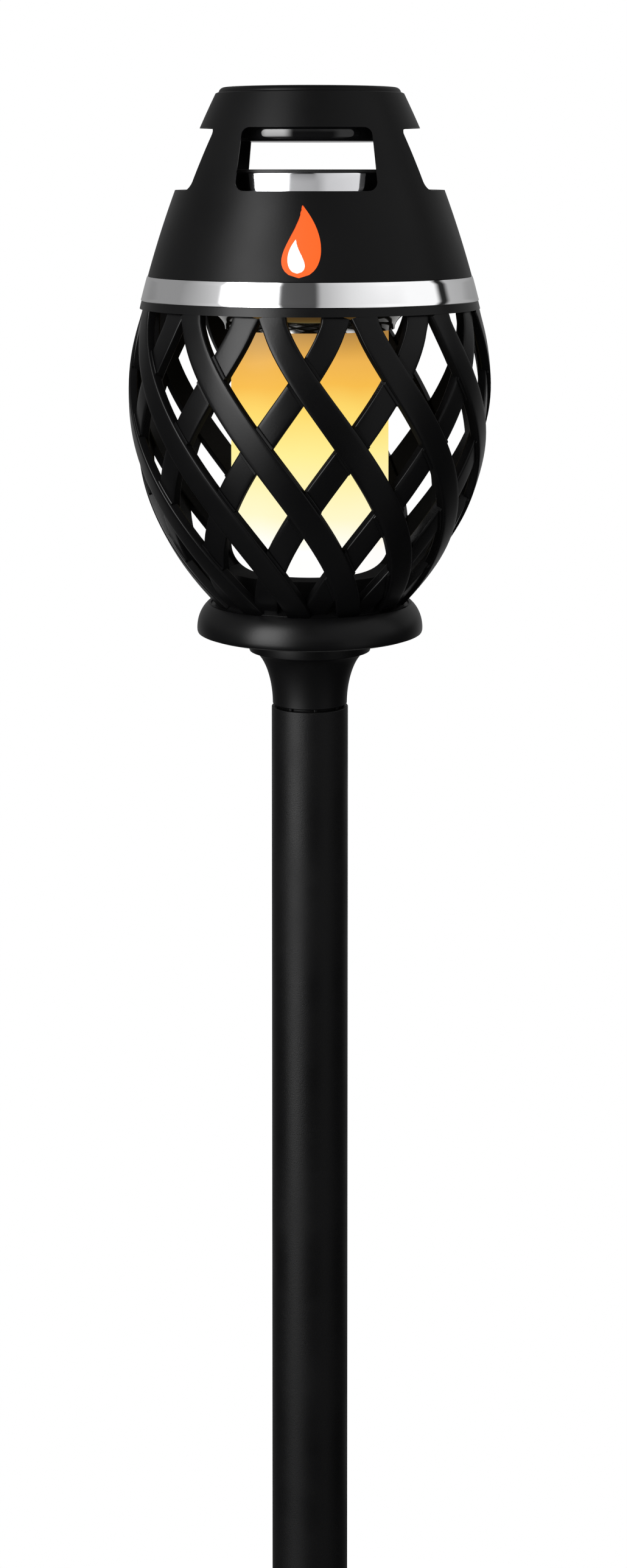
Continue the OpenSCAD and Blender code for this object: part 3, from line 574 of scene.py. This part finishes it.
def window_outline():
    r = WINDOW_CORNER
    low, top = WINDOW_LOW + r, WINDOW_TOP - r
    w0, w1 = WINDOW_HALF_LOW - r, WINDOW_HALF_TOP - r
    return (
        arc(w0, low, r, -90, 4, 8)
        + arc(w1, top, r, 4, 90, 8)
        + arc(-w1, top, r, 90, 176, 8)
        + arc(-w0, low, r, 176, 270, 8)
    )


def upper_shell():
    shelf_r = egg_r(DECK_Z) - WALL - SHELF_W
    profile = (
        egg_line(SHELL_Z + 0.2, TOP_Z - TOP_FILLET, 0.0, 40)
        + arc(egg_r(TOP_Z) - TOP_FILLET, TOP_Z - TOP_FILLET, TOP_FILLET, 12, 90, 8)
        + [(0, TOP_Z), (0, TOP_Z - WALL)]
        + egg_line(TOP_Z - WALL, DECK_Z + 1.0, WALL, 24)
        + [(shelf_r, DECK_Z + 1.0), (shelf_r, DECK_Z)]
        + egg_line(DECK_Z, SHELL_Z, WALL, 12)
        + [(SPIGOT_R - 2, SHELL_Z), (SPIGOT_R - 2, CAGE_TOP), (SPIGOT_R, CAGE_TOP)]
        + [(SPIGOT_R, SHELL_Z), (egg_r(SHELL_Z) - 0.25, SHELL_Z)]
    )
    shell = to_object(
        Shape().revolve(profile, HEAD_Z, 240),
        "shell_top",
        "head",
        "shell_black",
        ["upper_shell"],
    )
    outline = window_outline()
    cutters = []
    for turned in (False, True):
        rings = []
        for d in (-90.0, 90.0):
            rings.append(
                [(d, x, z + HEAD_Z) if turned else (x, d, z + HEAD_Z) for x, z in outline]
            )
        cutter = new_object(Shape().sweep(rings), "cutter")
        mod = shell.modifiers.new("window", "BOOLEAN")
        mod.operation = "DIFFERENCE"
        mod.solver = "EXACT"
        mod.object = cutter
        cutters.append(cutter)
    apply_modifiers(shell)
    for cutter in cutters:
        mesh = cutter.data
        bpy.data.objects.remove(cutter)
        bpy.data.meshes.remove(mesh)
    smooth(shell, 32.0)


upper_shell()

REFLECTOR_R = egg_r(WINDOW_TOP) - WALL - REFLECTOR_GAP
ROOF_R = egg_r(TOP_Z - WALL) - WALL - 0.05
REFLECTOR_Z = WINDOW_TOP - 4.4
REFLECTOR_CURVE = (REFLECTOR_R - REFLECTOR_ROUND, REFLECTOR_Z + REFLECTOR_ROUND)
to_object(
    Shape().revolve(
        [(0, REFLECTOR_Z)]
        + arc(*REFLECTOR_CURVE, REFLECTOR_ROUND, -90, 0, 10)
        + [
            (REFLECTOR_R, WINDOW_TOP),
            (ROOF_R, TOP_Z - WALL),
            (ROOF_R - 2, TOP_Z - WALL),
            (REFLECTOR_R - 2, WINDOW_TOP),
            (REFLECTOR_R - 4, REFLECTOR_Z + 2),
            (0, REFLECTOR_Z + 2),
        ],
        HEAD_Z,
    ),
    "reflector_plug",
    "head",
    "gloss_black",
    ["sound_reflector"],
)

DECK_TOP = DECK_Z + DECK_H
DECK_R = egg_r(DECK_TOP) - WALL - DECK_GAP
to_object(
    Shape().revolve(
        rounded(
            [
                (DECK_R + 0.8, DECK_Z),
                (DECK_R, DECK_TOP, 0.7),
                (DECK_R - 2.2, DECK_TOP),
                (DECK_R - 2.2, DECK_TOP - 1),
                (DECK_R - 0.4, DECK_Z),
            ]
        ),
        HEAD_Z,
    ),
    "deck_chrome",
    "head",
    "chrome_deck",
    ["deck_ring"],
)


def trim_band():
    proud = [(r + 0.25, z) for r, z in egg_line(CAGE_TOP, SHELL_Z, 0.0, 12)]
    inner = egg_r(SHELL_Z) - 1.1
    outline = (
        [(proud[0][0] - 0.25, CAGE_TOP)]
        + [(proud[0][0] - 0.07, CAGE_TOP + 0.05), (proud[0][0], CAGE_TOP + 0.25)]
        + proud[1:-1]
        + [(proud[-1][0], SHELL_Z - 0.25), (proud[-1][0] - 0.07, SHELL_Z - 0.05)]
        + [(proud[-1][0] - 0.25, SHELL_Z), (inner, SHELL_Z), (inner, CAGE_TOP)]
    )
    to_object(
        Shape().revolve(outline, HEAD_Z, 256), "band_chrome", "head", "chrome_trim", ["trim_band"]
    )


trim_band()


# ---------------------------------------------------------------- lattice cage

STRIPS = 12
START = -10.6
STRIP_W, STRIP_T, STRIP_DROP = 8.0, 3.0, 1.2
RIM_Z, RIM_T = 107.6, 2.6
LEDGE_Z, LEDGE_W = RIM_Z + 1.4, 9


def weave_turn(z):
    u = CAGE_TOP - 1.6 - z
    return 0.72 * u - 5.2 * (1 - math.exp(-max(u, 0.0) / 10))


def strip_frame(z, start, lean, depth):
    """Centre of a strip's section, its outward normal and its sideways direction."""

    def point(h):
        a = math.radians(-90 + lean * (start + weave_turn(h)))
        s = egg_slope(h)
        r = egg_r(h) - depth * math.cos(s)
        return Vector((r * math.cos(a), r * math.sin(a), h - depth * math.sin(s)))

    along = (point(z + 0.5) - point(z - 0.5)).normalized()
    a = math.radians(-90 + lean * (start + weave_turn(z)))
    s = egg_slope(z)
    n = Vector((math.cos(s) * math.cos(a), math.cos(s) * math.sin(a), math.sin(s)))
    return point(z), n, along.cross(n).normalized()


def over_width(z):
    """The over strips are a little wider at the belly."""
    t = (z - FOOT_Z) / (CAGE_TOP - FOOT_Z)
    return 7.7 + 1.1 * math.sin(PI * min(1.0, max(0.0, t))) - 0.2 * t


def section(w, t, outer=0.55, inner=0.25, crown=0.12):
    """Outline across a strip: across, outward. The outer face is slightly crowned."""
    h, k = w / 2, t / 2
    pts = []
    pts += [(-h, -k + inner), (-h + inner, -k), (h - inner, -k), (h, -k + inner)]
    pts += arc(h - outer, k - outer - crown, outer, 0, 80, 4)
    pts += [(h * f, k - crown * f * f) for f in (0.66, 0.33, 0.0, -0.33, -0.66)]
    pts += arc(-h + outer, k - outer - crown, outer, 100, 180, 4)
    return pts


def cage():
    shape = Shape()
    steps = 46
    z0, z1 = FOOT_Z - 0.4, RIM_Z + 0.9
    for i in range(STRIPS):
        for lean, drop in ((1, 0.0), (-1, STRIP_DROP)):
            start = START + i * 360 / STRIPS
            rings = []
            for k in range(steps + 1):
                z = z0 + (z1 - z0) * k / steps
                root = max(0.0, (z - RIM_Z + 3.2) / 4.1)
                w = (over_width(z) if lean > 0 else STRIP_W) + 1.2 * root
                p, n, b = strip_frame(z, start, lean, STRIP_T / 2 + drop)
                rings.append(
                    [
                        p + b * x + n * y + Vector((0, 0, HEAD_Z))
                        for x, y in section(w, STRIP_T - (0.3 if root > 0.5 else 0.0))
                    ]
                )
            shape.sweep(rings)
    pads(shape)
    rim_in = [(egg_r(CAGE_TOP) - RIM_T, CAGE_TOP), (egg_r(RIM_Z) - RIM_T, LEDGE_Z)]
    rim_in += [(egg_r(RIM_Z) - LEDGE_W, LEDGE_Z), (egg_r(RIM_Z) - LEDGE_W, RIM_Z)]
    shape.revolve(egg_line(RIM_Z, CAGE_TOP, 0.0, 6) + rim_in, HEAD_Z, 240)
    foot_in = FOOT_R - RIM_T
    shape.revolve([(foot_in, 2.6), (FOOT_R, 2.6), (FOOT_R, 10.1), (foot_in, 12.4)], HEAD_Z, 192)
    to_object(shape, "cage_lattice", "head", "cage_black", ["lattice_cage"], crease=28.0)


def pads(shape):
    """Raised seats on the under strips where an over strip crosses them."""
    depth_top, depth_low, widen, lip = 0.62, 2.2, 0.95, 0.18
    for i in range(STRIPS):
        start = START + i * 360 / STRIPS
        for j in range(STRIPS):
            base = 2 * START + (i + j) * 360 / STRIPS
            for lap in (-1, 0, 1, 2):
                z = solve_turn((360 * lap - base) / 2)
                corners = z and pad_corners(z, widen)
                if not corners:
                    continue
                cu = sum(c[0] for c in corners) / 4
                cv = sum(c[1] for c in corners) / 4
                rings = []
                for depth, shrink in ((depth_low, 0.0), (depth_top + lip, 0.0), (depth_top, lip)):
                    ring = []
                    for u, v in subdivide(corners, 4):
                        f = 1 - shrink / math.hypot(u - cu, v - cv)
                        ring.append(surface(z, start, cu + (u - cu) * f, cv + (v - cv) * f, depth))
                    rings.append(ring)
                shape.sweep(rings)


def solve_turn(target):
    """Height at which a strip has turned by the target angle."""
    lo, hi = FOOT_Z + 1.5, RIM_Z - 3.0
    if not weave_turn(hi) < target < weave_turn(lo):
        return None
    for _ in range(50):
        mid = (lo + hi) / 2
        if weave_turn(mid) > target:
            lo = mid
        else:
            hi = mid
    return (lo + hi) / 2


def pad_corners(z, widen):
    """Corners of a crossing in a flat map: across to the right, and up along the shell."""
    rate = math.radians(weave_turn(z - 0.5) - weave_turn(z + 0.5))
    rise = 1 / math.cos(egg_slope(z))
    over = Vector((-rate * egg_r(z), rise)).normalized()
    under = Vector((rate * egg_r(z), rise)).normalized()
    wide = over_width(z) / 2 + widen
    narrow = STRIP_W / 2 - 0.02
    normal_o = Vector((over.y, -over.x))
    normal_u = Vector((under.y, -under.x))
    det = normal_o.x * normal_u.y - normal_o.y * normal_u.x
    if abs(det) < 0.2:
        return None
    out = []
    for so, su in ((-1, -1), (1, -1), (1, 1), (-1, 1)):
        a, b = so * wide, su * narrow
        out.append(
            ((a * normal_u.y - b * normal_o.y) / det, (b * normal_o.x - a * normal_u.x) / det)
        )
    return out


def subdivide(corners, n):
    out = []
    for k in range(4):
        p, q = corners[k], corners[(k + 1) % 4]
        out += [
            (p[0] + (q[0] - p[0]) * i / n, p[1] + (q[1] - p[1]) * i / n) for i in range(n)
        ]
    return out


def surface(z, start, u, v, depth):
    """A point near a crossing, from its flat map, at a depth under the egg's surface."""
    h = z + v * math.cos(egg_slope(z))
    a = math.radians(-90 + start + weave_turn(z)) + u / egg_r(h)
    s = egg_slope(h)
    r = egg_r(h) - depth * math.cos(s)
    return (r * math.cos(a), r * math.sin(a), h - depth * math.sin(s) + HEAD_Z)


cage()


# ---------------------------------------------------------------- flame light

DIFFUSER_CURVE = (DIFFUSER_R - DIFFUSER_ROUND, DIFFUSER_LOW + DIFFUSER_ROUND)
to_object(
    Shape().revolve(
        [(DIFFUSER_HOLE, DIFFUSER_LOW)]
        + arc(*DIFFUSER_CURVE, DIFFUSER_ROUND, -90, 0, 16)
        + [(DIFFUSER_R, DIFFUSER_TOP), (DIFFUSER_R - DIFFUSER_WALL, DIFFUSER_TOP)]
        + arc(*DIFFUSER_CURVE, DIFFUSER_ROUND - DIFFUSER_WALL, 0, -90, 16)
        + [(DIFFUSER_HOLE, DIFFUSER_LOW + DIFFUSER_WALL)],
        HEAD_Z,
        128,
    ),
    "diffuser_glass",
    "head",
    "diffuser_frost",
    ["flame_diffuser"],
)


def bowl():
    wall, steps = 1.2, 28
    lip_r = DIFFUSER_R - 3
    r0, rb = DIFFUSER_R + 2, egg_r(RIM_Z) - LEDGE_W - wall
    r1 = egg_r(CAGE_TOP) - RIM_T - 0.05
    z0, z1 = DIFFUSER_TOP, LEDGE_Z
    line = [
        (
            r0 + (rb - r0) * (1 - math.cos(PI / 2 * i / steps)),
            z0 + (z1 - z0) * math.sin(PI / 2 * i / steps),
        )
        for i in range(steps + 1)
    ]
    back = [(r - wall / 2, z + wall) for r, z in line[1:-1]][::-1]
    outline = [(lip_r, z0)] + line + [(r1, z1), (r1, CAGE_TOP), (rb, CAGE_TOP)] + back
    outline.append((lip_r, z0 + wall))
    to_object(
        Shape().revolve(outline, HEAD_Z, 160),
        "bowl_chrome",
        "head",
        "reflector_chrome",
        ["glow_reflector"],
    )


bowl()


# ---------------------------------------------------------------- base

RING_R = FOOT_R + 6.2
RING_BORE = FOOT_R + 0.1


def base_ring():
    dome_w, dome_h, dome_z, ring_h = 8.4, 10.2, 1.5, 9.9
    end = math.asin((ring_h - dome_z) / dome_h)
    dome = [
        (
            RING_R - dome_w + dome_w * math.cos(end * i / 28),
            dome_z + dome_h * math.sin(end * i / 28),
        )
        for i in range(29)
    ]
    outline = (
        [(RING_BORE, 0), (RING_R - 4.8, 0), (RING_R - 4.8, 1), (RING_R - 1.8, 1)]
        + [(RING_R - 1.8, 0), (RING_R - 0.6, 0), (RING_R - 0.25, 0.2), (RING_R - 0.05, 0.7)]
        + dome
        + [(RING_BORE + 1.6, ring_h - 0.1), (RING_BORE + 1.4, ring_h - 0.7)]
        + [(RING_BORE, ring_h - 0.7)]
    )
    to_object(
        Shape().revolve(outline, HEAD_Z, 224), "ring_base", "head", "base_black", ["base_ring"]
    )
    to_object(
        Shape().revolve(
            rounded(
                [
                    (RING_R - 4.75, -0.5, 0.3),
                    (RING_R - 1.85, -0.5, 0.3),
                    (RING_R - 1.85, 1.0),
                    (RING_R - 4.75, 1.0),
                ]
            ),
            HEAD_Z,
            192,
        ),
        "foot_rubber_ring",
        "head",
        "foot_rubber",
        ["foot_ring"],
    )


base_ring()


# ---------------------------------------------------------------- adapter

ADAPTER_H = 24.2
FLANGE_R = 20.1
POLE_R = 12.7
POLE_BORE = 11.5
PLUG_R = 11.35
PLUG_H = 30
WASHER_T = 0.8
PLUG_LOW = -ADAPTER_H - WASHER_T - 22.0
STUD_BORE = 9.5 - 1.05
RIBS = 8


def adapter():
    top, low = -WASHER_T, -6.3
    neck, wide = POLE_R - 0.35, FLANGE_R - 0.7
    drop = ADAPTER_H + low
    steps = 30
    flare = []
    for i in range(steps, -1, -1):
        a = PI / 2 * i / steps
        flare.append(
            (
                neck + (wide - neck) * (1 - math.sin(a)),
                -ADAPTER_H + drop * (1 - (1 - math.cos(a)) ** 0.9),
            )
        )
    flare.sort(key=lambda p: p[1])
    core = PLUG_R - 0.8
    outline = (
        [(PLUG_R - 3.2, PLUG_LOW), (PLUG_R - 1.6, PLUG_LOW), (core, PLUG_LOW + 1.4)]
        + [(core, -ADAPTER_H), (flare[0][0] - 0.25, -ADAPTER_H)]
        + [(flare[0][0], -ADAPTER_H + 0.3)]
        + flare[1:]
        + [(FLANGE_R - 0.3, low), (FLANGE_R - 0.08, low + 0.1), (FLANGE_R, low + 0.35)]
        + [(FLANGE_R, top - 0.45), (FLANGE_R - 0.12, top - 0.12), (FLANGE_R - 0.45, top)]
        + [(STUD_BORE, top), (STUD_BORE, -12), (0, -12), (0, PLUG_LOW + PLUG_H)]
        + [(PLUG_R - 3.2, PLUG_LOW + PLUG_H)]
    )
    shape = Shape().revolve(outline, HEAD_Z, 160)
    for i in range(RIBS):
        a = math.radians(i * 360 / RIBS + 12)
        out, side = Vector((math.cos(a), math.sin(a), 0)), Vector((-math.sin(a), math.cos(a), 0))
        rings = []
        for z, tuck in ((PLUG_LOW + 2, 0.5), (PLUG_LOW + 3.5, 0.0), (-ADAPTER_H + 0.01, 0.0)):
            rings.append(
                [
                    out * r + side * s + Vector((0, 0, z + HEAD_Z))
                    for r, s in (
                        (PLUG_R - 1.4, -0.6),
                        (PLUG_R - 0.15 - tuck, -0.6),
                        (PLUG_R - tuck, -0.4),
                        (PLUG_R - tuck, 0.4),
                        (PLUG_R - 0.15 - tuck, 0.6),
                        (PLUG_R - 1.4, 0.6),
                    )
                ]
            )
        shape.sweep(rings)
    to_object(shape, "adapter_trumpet", "adapter", "adapter_black", ["pole_adapter"], crease=30.0)


adapter()


# ---------------------------------------------------------------- poles and stake

SECTION = 305.0
PLATE_T, PLATE_R = 5.0, 23.0
STEP = SECTION + 0.3
LOWER_Z = PLATE_T + 0.3


def pole(name, node, z0):
    rim = 0.35
    outline = rounded(
        [
            (POLE_BORE, 0.0, 0.15),
            (POLE_R, 0.0, rim),
            (POLE_R, SECTION, rim),
            (POLE_BORE, SECTION, 0.15),
        ]
    )
    to_object(Shape().revolve(outline, z0, 144), name, node, "pole_paint", [node])


pole("tube_low", "lower_pole", LOWER_Z)
pole("tube_mid", "middle_pole", LOWER_Z + STEP)
pole("tube_top", "upper_pole", LOWER_Z + 2 * STEP)


def stake():
    length, half, thick, tip = 170.0, 15.0, 1.6, 5.0
    outline = [(-half, 0), (-half, -10), (-tip, -length + 14), (0, -length)]
    outline += [(tip, -length + 14), (half, -10), (half, 0)]
    shape = Shape()
    for turned in (False, True):
        rings = []
        for d, inset in ((-thick, 0.5), (-thick + 0.5, 0.0), (thick - 0.5, 0.0), (thick, 0.5)):
            ring = []
            for x, z in outline:
                f = 1 - inset / half
                x, z = x * f, z if z == 0 else z + inset * 1.2
                ring.append((d, x, z) if turned else (x, d, z))
            rings.append(ring)
        shape.sweep(rings)
    plate = rounded(
        [
            (0, 0),
            (PLATE_R, 0, 0.9),
            (PLATE_R, PLATE_T - 2.2, 0.9),
            (21.4, PLATE_T - 1.1, 0.6),
            (POLE_R + 3, PLATE_T, 1.2),
            (PLUG_R, PLATE_T),
            (PLUG_R, PLATE_T + PLUG_H, 1.4),
            (0, PLATE_T + PLUG_H),
        ]
    )
    shape.revolve(plate, 0.0, 128)
    to_object(shape, "stake_spike", "stake", "stake_black", ["ground_stake"], crease=30.0)


stake()


# ---------------------------------------------------------------- printed mark


PRINT_T = 0.00012


def decal(name, outline, material, proud):
    """A flat outline (across, height) laid on the shell's front as a thin print."""
    bm = bmesh.new()
    bm.faces.new([bm.verts.new((x, 0.0, z)) for x, z in outline])
    bmesh.ops.triangulate(bm, faces=bm.faces)
    for _ in range(3):
        bmesh.ops.subdivide_edges(bm, edges=bm.edges, cuts=1, use_grid_fill=True)
        bmesh.ops.triangulate(bm, faces=bm.faces)
    for v in bm.verts:
        r = egg_r(v.co.z) + proud
        v.co = Vector((v.co.x, -math.sqrt(r * r - v.co.x**2), v.co.z + HEAD_Z)) * MM
    bmesh.ops.recalc_face_normals(bm, faces=bm.faces)
    mesh = bpy.data.meshes.new(name)
    bm.to_mesh(mesh)
    bm.free()
    if sum(p.normal.y for p in mesh.polygons) >= 0:
        mesh.flip_normals()
    mesh.materials.append(MAT[material])
    obj = bpy.data.objects.new(name, mesh)
    bpy.context.scene.collection.objects.link(obj)
    mod = obj.modifiers.new("thick", "SOLIDIFY")
    mod.thickness = PRINT_T
    mod.offset = -1.0
    apply_modifiers(obj)
    smooth(obj, 50.0)
    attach(obj, "head")


def tongue(cx, cz, half, height, lean, steps=22):
    """A flame's outline: round below, drawn to a leaning tip."""
    left, right = [], []
    for i in range(steps + 1):
        t = i / steps
        w = half * (math.sin(PI * t**0.55) if t < 1 else 0.0)
        mid = cx + lean * math.sin(PI * t * 0.9) * t
        left.append((mid - w, cz + height * t))
        right.append((mid + w, cz + height * t))
    return right + left[-2:0:-1]


decal("mark_flame", tongue(-1.8, 119.6, 6.0, 22.5, 3.2), "print_orange", 0.05)
decal("mark_core", tongue(-2.3, 121.0, 2.6, 10.5, -1.6), "print_white", 0.09)


# ---------------------------------------------------------------- CAD nodes that stay

for n, obj in nodes.items():
    for s in frame["record"]["subparts"]:
        if s["node"] == n:
            for slot in obj.material_slots:
                slot.material = MAT[s["material_slot"]]


# ---------------------------------------------------------------- light and floor
BOX = 12.0
FLOOR_R = 6.0
POLE_JOINTS, POLE_TRAVEL = 3, 0.028


def world():
    """Even white for matt surfaces; broad panels, dark cards and one softbox for shiny ones.

    Directions run from -180 to 180 degrees, with 0 towards the camera's side.
    """
    w = bpy.data.worlds.new("studio")
    bpy.context.scene.world = w
    w.use_nodes = True
    g = Graph(w.node_tree)
    axes = g.node("ShaderNodeSeparateXYZ", Vector=g.node("ShaderNodeTexCoord").outputs["Generated"])
    x, y, z = axes.outputs[0], axes.outputs[1], axes.outputs[2]
    turn = g.math("ARCTAN2", x, g.math("MULTIPLY", y, -1.0))
    az = g.math("MULTIPLY_ADD", turn, 1 / (2 * PI), 0.5)
    el = g.math("MULTIPLY", g.math("ARCSINE", z), 180 / PI)

    def stops(pairs):
        return [((a + 180) / 360, v) for a, v in pairs]

    high = g.ramp(
        az,
        stops(
            [
                (-180, 0.3), (-100, 0.3), (-75, 0.6), (-60, 0.85), (-30, 0.95), (-20, 0.1),
                (6, 0.08), (10, 0.5), (30, 0.8), (60, 1.1), (100, 1.1), (105, 0.02),
                (110, 0.02), (115, 0.5), (180, 0.3),
            ]
        ),
    )
    middle = g.ramp(
        az,
        stops(
            [
                (-180, 0.3), (-100, 0.3), (-60, 0.65), (10, 0.45), (20, 0.7), (60, 0.85),
                (75, 1.1), (100, 1.1), (105, 0.02), (110, 0.02), (115, 0.5), (180, 0.3),
            ]
        ),
    )
    low = g.ramp(
        az,
        stops(
            [
                (-180, 0.35), (-150, 0.3), (-120, 0.05), (30, 0.05), (40, 0.75), (60, 0.75),
                (75, 0.05), (120, 0.05), (150, 0.3), (180, 0.35),
            ]
        ),
    )
    side = g.mix(g.span(el, 2.0, 9.0), low, middle)
    side = g.mix(g.span(el, 18.0, 25.0), side, high)
    fall = g.ramp(
        g.span(el, -90.0, 90.0),
        [
            (0.0, 0.1), (0.3, 0.25), (0.35, 0.5), (0.43, 1.0), (0.5, 1.0), (0.76, 1.0),
            (0.83, 0.45), (0.9, 0.12), (1.0, 0.12),
        ],
    )
    seen = g.mix(1.0, side, fall, "MULTIPLY")
    box_az = g.ramp(az, stops([(-66, 0.0), (-52, 1.0), (-32, 1.0), (-18, 0.0)]), "EASE")
    box_el = g.ramp(
        g.span(el, -90.0, 90.0),
        [
            (0.3, 0.02), (0.36, 0.1), (0.42, 0.35), (0.47, 0.7), (0.52, 1.0), (0.67, 1.0),
            (0.78, 0.03), (1.0, 0.0),
        ],
    )
    box = g.mix(1.0, box_az, box_el, "MULTIPLY")
    seen = g.mix(1.0, seen, g.mix(1.0, box, rgba((BOX, BOX, BOX)), "MULTIPLY"), "ADD")
    path = g.node("ShaderNodeLightPath")
    plain = g.math("MAXIMUM", path.outputs["Is Camera Ray"], path.outputs["Is Diffuse Ray"])
    color = g.mix(plain, seen, rgba(WHITE))
    back = g.node("ShaderNodeBackground", Color=color, Strength=1.0)
    g.node("ShaderNodeOutputWorld", Surface=back.outputs[0])


world()


def floor():
    """Lies below the stake even when all three joints of the pole are pulled out."""
    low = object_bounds()[0][2] - POLE_JOINTS * POLE_TRAVEL - 0.001
    mesh = bpy.data.meshes.new("floor")
    bm = bmesh.new()
    bmesh.ops.create_circle(bm, cap_ends=True, radius=FLOOR_R, segments=96)
    bm.to_mesh(mesh)
    bm.free()
    obj = bpy.data.objects.new("floor", mesh)
    obj.location.z = low
    bpy.context.scene.collection.objects.link(obj)
    obj.visible_glossy = False
    mat = bpy.data.materials.new("floor")
    mat.use_nodes = True
    g = Graph(mat.node_tree)
    away_from_axis = g.node("ShaderNodeVectorMath", {"operation": "LENGTH"}, Vector=g.coords())
    far = g.span(away_from_axis.outputs[1], 0.5, 1.6)
    near = g.node(
        "ShaderNodeBsdfPrincipled",
        Base_Color=rgba((0.86, 0.86, 0.86)),
        Roughness=0.7,
        Emission_Color=rgba(WHITE),
        Emission_Strength=0.42,
    )
    away = g.node("ShaderNodeEmission", Color=rgba(WHITE), Strength=1.0)
    both = g.node("ShaderNodeMixShader", Fac=far)
    g.tree.links.new(near.outputs[0], both.inputs[1])
    g.tree.links.new(away.outputs[0], both.inputs[2])
    g.node("ShaderNodeOutputMaterial", Surface=both.outputs[0])
    mesh.materials.append(mat)
    obj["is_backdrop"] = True


floor()
